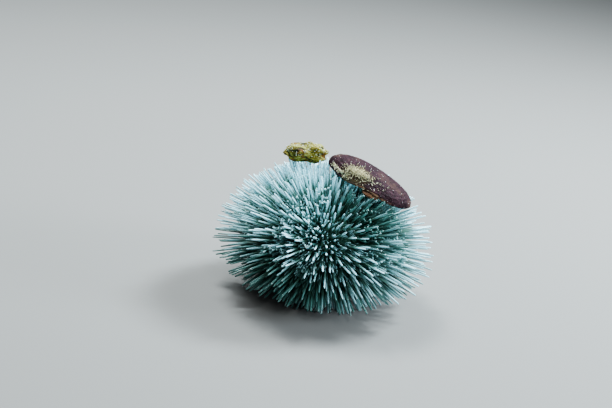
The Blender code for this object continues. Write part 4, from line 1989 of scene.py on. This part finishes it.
@dataclass
class WornShell:
    """An overgrown shell, hollow side down on the spine tips, with a bristly crust."""

    axis: Vector
    draw: np.random.Generator

    # Its size, its place and its outline
    half_length: float = 0.0269
    half_width: float = 0.0178
    rise: float = 0.0098
    thickness: float = 0.0024
    centre: Vector = field(default_factory=lambda: Vector((0.0215, 0.0, 0.0728)))
    slope: float = 17.7
    turn: float = -17.0
    doming: float = 0.8
    beak: float = 0.12
    oval: float = 0.05
    lobes: float = 0.035

    # Its worn surface, and the arch of its front edge
    turns: int = 180
    rows: int = 96
    grain_scale: float = 320.0
    grain_depth: float = 0.00028
    ridges: float = 62.0
    ridge_depth: float = 0.00012
    ridge_stray: float = 2.2
    ridge_stray_scale: float = 90.0
    rim_depth: float = 0.00045
    rim_scale: float = 260.0
    arch_azimuth: float = -82.0
    arch_width: float = 26.0
    arch_height: float = 0.0026

    # The fleshy lip below the arch, and the colour of the edge above it
    lip_azimuth: float = -76.0
    lip_width: float = 13.0
    lip_inset: float = 0.0034
    lip_thickness: float = 0.0016
    lip_lift: float = 0.0002
    stain_width: float = 20.0

    # The bristly patch, and the fringe of bristles along the edge
    patch_middle: Vector = field(default_factory=lambda: Vector((-0.27, -0.68)))
    patch_size: float = 0.44
    patch_spreads: tuple[float, ...] = (0.25, 0.25, 0.48)
    patch_oval: Pair = (1.25, 0.7)
    fringe: float = 0.12
    fringe_reach: Pair = (0.962, 0.994)
    fringe_turn: Pair = (-155.0, -112.0)
    bristles: int = 820
    bristle_rings: Rings = ((0.0, 1.2), (0.5, 0.9), (0.9, 0.5), (1.0, 0.15))
    bristle_sides: int = 5
    bristle_length: float = 0.0023
    bristle_radius: float = 0.00016
    bristle_sink: float = 0.0003
    bristle_lean: float = 0.45
    bristle_sweep: Point = (0.25, -0.55, 0.0)

    def matrix(self) -> Matrix:
        """Gives the shell's place.

        Returns:
            The matrix of its own axes.
        """
        turn = Matrix.Rotation(math.radians(self.turn), 4, "Z")
        slope = Matrix.Rotation(math.radians(self.slope), 4, "Y")
        return Matrix.Translation(self.centre + self.axis) @ turn @ slope

    def shape(self, unit: Vector) -> Vector:
        """Draws the dome before wear.

        Args:
            unit: A point of the unit half sphere.

        Returns:
            The dome's point for it.
        """
        turn = math.atan2(unit.y, unit.x)
        uneven = 1 + self.oval * math.cos(2 * turn + 0.6) + self.lobes * math.sin(3 * turn)
        rise = max(unit.z, 0.0) ** self.doming * (1 - self.beak * unit.x)
        x, y = unit.x * self.half_length, unit.y * self.half_width
        return Vector((x * uneven, y * uneven, self.rise * rise))

    def worn(self, unit: Vector) -> Vector:
        """Draws the worn, ridged dome with its arched front edge.

        Args:
            unit: A point of the unit half sphere.

        Returns:
            The surface's point for it.
        """
        reach = math.hypot(unit.x, unit.y)
        point = self.shape(unit)
        grain = 0.5 + 0.5 * noise.fractal(point * self.grain_scale, 1.0, 2.0, 4)
        stray = self.ridge_stray * noise.noise(point * self.ridge_stray_scale)
        ridge = 1 + math.sin(reach * self.ridges + stray)
        inward = Vector((-unit.x, -unit.y, -0.6 - unit.z)).normalized()
        point += inward * (self.grain_depth * grain + self.ridge_depth * ridge * reach)
        rim = smooth_share(reach, 0.90, 1.0)
        point.z += self.rim_depth * rim * noise.noise(point * self.rim_scale)
        turn = math.degrees(math.atan2(unit.y, unit.x))
        arch = math.exp(-(((turn - self.arch_azimuth) / self.arch_width) ** 2))
        point.z += self.arch_height * arch * max(0.0, 1.0 - unit.z / 0.5)
        return point

    def masks(self, unit: Vector) -> tuple[float, float]:
        """Tells where the patch and the stained edge show.

        Args:
            unit: A point of the unit half sphere.

        Returns:
            The share of each there.
        """
        turn = math.degrees(math.atan2(unit.y, unit.x))
        away = (Vector(unit.xy) - self.patch_middle).length / self.patch_size
        stain = math.exp(-(((turn - self.lip_azimuth) / self.stain_width) ** 2))
        low = smooth_share(unit.z, 0.16, 0.05)
        return 1.0 - float(smooth_share(away, 0.55, 1.0)), float(low * stain)

    def build(self) -> list[Object]:
        """Builds the shell, its lip and its bristles.

        Returns:
            The pieces.
        """
        bm = bmesh.new()
        bmesh.ops.create_uvsphere(bm, u_segments=self.turns, v_segments=self.rows, radius=1.0)
        every = [*bm.verts, *bm.edges, *bm.faces]
        cut = {"plane_co": (0, 0, 0), "plane_no": (0, 0, -1), "clear_outer": True}
        bmesh.ops.bisect_plane(bm, geom=every, dist=MERGE, **cut)
        masks = []
        for vertex in bm.verts:
            masks.append(self.masks(vertex.co))
            vertex.co = self.worn(vertex.co)
        bmesh.ops.transform(bm, matrix=self.matrix(), verts=bm.verts)
        shell = object_from(bm, "worn_shell", ShellFinish().make())
        for name, values in zip(("patch", "lip"), np.array(masks).T):
            point_attribute(shell.data, name, values)
        wall = shell.modifiers.new("Wall", "SOLIDIFY")
        wall.thickness = self.thickness
        wall.offset = -1.0
        return [finish_piece(shell, Slot.SHELL, ("cover_shell",)), self.lip(), self.bristle_patch()]

    def lip(self) -> Object:
        """Builds the fleshy lip that shows below the arch of the shell's front edge.

        Returns:
            The piece.
        """
        bm = bmesh.new()
        bmesh.ops.create_uvsphere(bm, u_segments=48, v_segments=40, radius=1.0)
        for vertex in bm.verts:
            x, y, z = vertex.co
            turn = math.radians(self.lip_azimuth + self.lip_width * z)
            edge = Vector((math.cos(turn), math.sin(turn), 0.0))
            uneven = 0.35 * noise.noise(Vector((x, y, z * 5.0)) * 2.5)
            thick = self.lip_thickness * (1.0 + uneven)
            inward = -edge * (self.lip_inset + thick * 1.6 * x)
            vertex.co = self.shape(edge) + inward + Vector((0, 0, self.lip_lift + thick * y))
        bmesh.ops.transform(bm, matrix=self.matrix(), verts=bm.verts)
        flesh = ShellFinish(
            "shell_lip_flesh", brown=(0.46, 0.20, 0.10), dust=(0.62, 0.38, 0.23), dark=(0.18, 0.065, 0.045)
        )
        made = object_from(bm, "shell_lip", flesh.make())
        for name in ("patch", "lip"):
            point_attribute(made.data, name, np.zeros(len(made.data.vertices)))
        return finish_piece(made, Slot.SHELL)

    def bristle_patch(self) -> Object:
        """Builds the crust of short pale bristles on the shell's front.

        Returns:
            The piece.
        """
        sites = []
        matrix = self.matrix()
        while len(sites) < self.bristles:
            spread = self.patch_size * self.draw.choice(self.patch_spreads)
            stray = self.draw.normal(0.0, spread, 2)
            flat = self.patch_middle + Vector((self.patch_oval[0] * stray[0], self.patch_oval[1] * stray[1]))
            if self.draw.random() < self.fringe:
                reach = self.draw.uniform(*self.fringe_reach)
                flat = polar(reach, self.draw.uniform(*self.fringe_turn), 0.0).xy
            if flat.length > 0.995:
                continue
            unit = Vector((flat.x, flat.y, math.sqrt(1 - flat.length_squared)))
            sizes = (self.half_length, self.half_width, self.rise)
            outward = Vector([part / size for part, size in zip(unit, sizes)]).normalized()
            lean = Vector(self.draw.normal(0.0, self.bristle_lean, 3))
            direction = (outward + lean + Vector(self.bristle_sweep)).normalized()
            root = matrix @ (self.shape(unit) - outward * self.bristle_sink)
            aim = (matrix.to_3x3() @ direction).normalized()
            length = self.bristle_length * self.draw.uniform(0.4, 1.15)
            radius = self.bristle_radius * self.draw.uniform(0.7, 1.3)
            patch = (flat.x / 2.2 + 0.5, flat.y / 2.2 + 0.5)
            sites.append(Site(root, aim, length, radius, self.draw.uniform(0, 0.7), patch))
        form = Form.of(lathe(self.bristle_rings, self.bristle_sides))
        finish = GrainFinish("bristle", (0.90, 0.84, 0.52), (0.080, 0.055, 0.034)).make()
        return finish_piece(grow("shell_bristles", form, sites, finish, self.draw), Slot.SHELL)


@dataclass
class WornRubble:
    """A flat fragment of rubble under a crust of yellow growth."""

    axis: Vector
    draw: np.random.Generator
    size: Vector = field(default_factory=lambda: Vector((0.0125, 0.0080, 0.0058)))
    centre: Vector = field(default_factory=lambda: Vector((-0.0181, 0.0180, 0.0812)))
    slope: float = -4.0
    underside: float = 0.85
    bluntness: float = 3.0
    taper: float = 0.16
    lobes: float = 0.08
    relief: float = 0.13
    fine: float = 0.08
    crust_scale: float = 3.2
    crust_depth: float = 0.13
    hollow_scale: float = 7.5
    hollow_share: float = 0.45
    grains: int = 220
    grain_rings: Rings = ((-0.2, 0.5), (0.2, 1.0), (0.7, 0.9), (1.0, 0.3))
    grain_sides: int = 5
    grain_size: float = 0.00022
    grain_sink: float = 0.985

    def matrix(self) -> Matrix:
        """Gives the fragment's place."""
        return Matrix.Translation(self.centre + self.axis) @ Matrix.Rotation(math.radians(self.slope), 4, "Y")

    def shape(self, unit: Vector) -> tuple[Vector, float]:
        """Draws the fragment's surface.

        Args:
            unit: A point of the unit sphere.

        Returns:
            The surface's point for it, and how high the crust is there.
        """
        across = math.hypot(unit.x, unit.y)
        blunt = (across**self.bluntness + abs(unit.z) ** self.bluntness) ** (1.0 / self.bluntness)
        x, y, z = unit / blunt
        z *= 1 + self.taper * x
        size = 1 + self.relief * math.sin(5.1 * x + 1.3) * math.cos(4.3 * y)
        size += self.fine * math.sin(7.7 * x * z + 3 * y)
        size += self.lobes * across * math.sin(3 * math.atan2(y, x) + 0.6)
        crust = noise.fractal(unit * self.crust_scale, 0.7, 2.1, 6)
        hollow = noise.noise(unit * self.hollow_scale)
        high = 0.5 + 0.5 * crust - self.hollow_share * max(0.0, hollow)
        size *= 0.97 + self.crust_depth * (high - 0.5)
        flat = self.underside if z < 0 else 1.0
        return Vector((x * self.size.x, y * self.size.y, z * flat * self.size.z)) * size, high

    def build(self) -> list[Object]:
        """Builds the fragment and the grains on it.

        Returns:
            The pieces.
        """
        bm = bmesh.new()
        bmesh.ops.create_icosphere(bm, subdivisions=6, radius=1.0)
        heights = []
        for vertex in bm.verts:
            vertex.co, high = self.shape(vertex.co)
            heights.append(high)
        bmesh.ops.transform(bm, matrix=self.matrix(), verts=bm.verts)
        rubble = object_from(bm, "worn_rubble", CrustFinish().make())
        point_attribute(rubble.data, "height", np.array(heights))
        return [finish_piece(rubble, Slot.RUBBLE, ("cover_rubble",)), self.grain_cover()]

    def grain_cover(self) -> Object:
        """Builds the pale grains on the fragment's upper side.

        Returns:
            The piece.
        """
        sites = []
        matrix = self.matrix()
        for _ in range(self.grains):
            unit = Vector(self.draw.normal(0.0, 1.0, 3)).normalized()
            unit.z = abs(unit.z)
            root = matrix @ (self.shape(unit)[0] * self.grain_sink)
            size = self.grain_size * self.draw.uniform(0.5, 1.5)
            patch = (unit.x / 2.2 + 0.5, unit.y / 2.2 + 0.5)
            sites.append(Site(root, unit, size * 2, size, self.draw.uniform(0, 0.5), patch))
        form = Form.of(lathe(self.grain_rings, self.grain_sides))
        finish = GrainFinish("grain", (0.62, 0.64, 0.50), (0.26, 0.22, 0.05), 0.35).make()
        return finish_piece(grow("rubble_grains", form, sites, finish, self.draw), Slot.RUBBLE)


# The studio


@dataclass(frozen=True)
class Lamp:
    """One soft square light: its name, place, side, power in watts and colour."""

    name: str
    place: Point
    size: float
    power: float
    colour: Colour


@dataclass
class Studio:
    """A pale floor with a raised back, soft lights and the camera."""

    axis: Vector

    # The camera, whose offset moves the picture aside and up
    lens: float = 85.0
    sensor: float = 36.0
    near: float = 0.01
    far: float = 50.0
    distance: float = 0.867
    elevation: float = 18.6
    roll: float = 8.0
    aim_height: float = 0.0343
    offset: Vector = field(default_factory=lambda: Vector((0.0107, -0.0215)))

    # The floor, whose far side bends up in steps
    half_side: float = 4.0
    bends: int = 12
    bend_turn: float = 7.5
    bend_length: float = 0.25

    # The light
    lamps: tuple[Lamp, ...] = (
        Lamp("key_light", (0.52, 0.46, 0.74), 0.22, 56.0, (0.78, 0.94, 1.0)),
        Lamp("left_light", (-0.28, 0.40, 0.90), 0.26, 38.0, (0.84, 0.97, 1.0)),
        Lamp("right_light", (0.95, -0.06, 0.34), 0.35, 26.0, (0.74, 0.91, 1.0)),
        Lamp("front_fill", (0.08, -0.68, 0.80), 0.14, 6.0, (0.90, 0.98, 1.0)),
    )
    air: Colour = (0.80, 0.88, 0.92)
    air_strength: float = 0.19

    def floor(self) -> None:
        """Lays the floor and bends it up behind."""
        bm = bmesh.new()
        bmesh.ops.create_grid(bm, x_segments=1, y_segments=1, size=self.half_side)
        edges = [edge for edge in bm.edges if all(v.co.y > 0 for v in edge.verts)]
        for bend in range(1, self.bends + 1):
            verts, edges = extrude(bm, edges)
            angle = math.radians(self.bend_turn * bend)
            onward = (0, self.bend_length * math.cos(angle), self.bend_length * math.sin(angle))
            bmesh.ops.translate(bm, verts=verts, vec=onward)
        mesh = bpy.data.meshes.new("studio_floor")
        bm.to_mesh(mesh)
        bm.free()
        mesh.materials.append(FloorFinish().make())
        linked("studio_floor", mesh)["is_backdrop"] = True

    def light(self, lamp: Lamp) -> None:
        """Hangs one light so that it faces the animal.

        Args:
            lamp: The light.
        """
        data = bpy.data.lights.new(lamp.name, "AREA")
        data.size = lamp.size
        data.energy = lamp.power
        data.color = lamp.colour
        hung = linked(lamp.name, data)
        hung.location = lamp.place
        facing = Vector(lamp.place) - Vector((0, 0, self.aim_height))
        hung.rotation_euler = facing.to_track_quat("Z", "Y").to_euler()

    def surround(self) -> None:
        """Sets the dim light from all round."""
        world = bpy.data.worlds.new("studio")
        world.use_nodes = True
        sockets = world.node_tree.nodes["Background"].inputs
        sockets["Color"].default_value = (*self.air, 1.0)
        sockets["Strength"].default_value = self.air_strength
        bpy.context.scene.world = world

    def camera(self) -> None:
        """Sets up the camera at the picture's angle, rolled a little."""
        data = bpy.data.cameras.new("camera")
        data.lens = self.lens
        data.sensor_width = self.sensor
        data.clip_start = self.near
        data.clip_end = self.far
        tilt = Matrix.Rotation(math.radians(90.0 - self.elevation), 3, "X")
        turn = tilt @ Matrix.Rotation(math.radians(self.roll), 3, "Z")
        aim = Vector((self.axis.x, self.axis.y, self.aim_height))
        made = linked("camera", data)
        made.location = aim - turn @ Vector((self.offset.x, self.offset.y, -self.distance))
        made.rotation_euler = turn.to_euler()
        bpy.context.scene.camera = made

    def build(self) -> None:
        """Builds the studio."""
        self.floor()
        for lamp in self.lamps:
            self.light(lamp)
        self.surround()
        self.camera()


def axis_of_test() -> Vector:
    """Gives where the frame's nodes put the axis of the test, at floor level."""
    low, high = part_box("periproct")
    return Vector(((low.x + high.x) / 2, (low.y + high.y) / 2, 0.0))


def write_sizes() -> None:
    """Gathers the frame's box and the dressed part's box, and logs the dressed part's box."""
    low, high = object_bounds()
    boxes = {"cad": [list(CAD_LOW), list(CAD_HIGH)], "visual": [list(low), list(high)]}
    LOG.info("visual box %s", [[round(1000 * x, 1) for x in corner] for corner in boxes["visual"]])


def main() -> None:
    """Builds the animal, what it wears and the studio, in order."""
    logging.basicConfig(level=logging.INFO, format="%(message)s")
    draw = np.random.default_rng(SEED)
    noise.seed_set(SEED)
    axis = axis_of_test()
    meridian = Meridian(Outline())
    Studio(axis).build()
    shell, rubble = WornShell(axis, draw), WornRubble(axis, draw)
    shell_pieces = shell.build()
    worn = [(piece, shell.matrix()) for piece in shell_pieces[:2]] + [(rubble.build()[0], rubble.matrix())]
    bpy.context.view_layer.update()
    covers = [Cover(piece, matrix) for piece, matrix in worn]
    TestSkin(meridian, axis).build()
    Coat(meridian, axis, covers, draw).build()
    ApicalDisc(meridian, axis, covers, draw).build()
    Mouth(meridian, axis, draw).build()
    write_sizes()


if __name__ == "__main__":
    main()
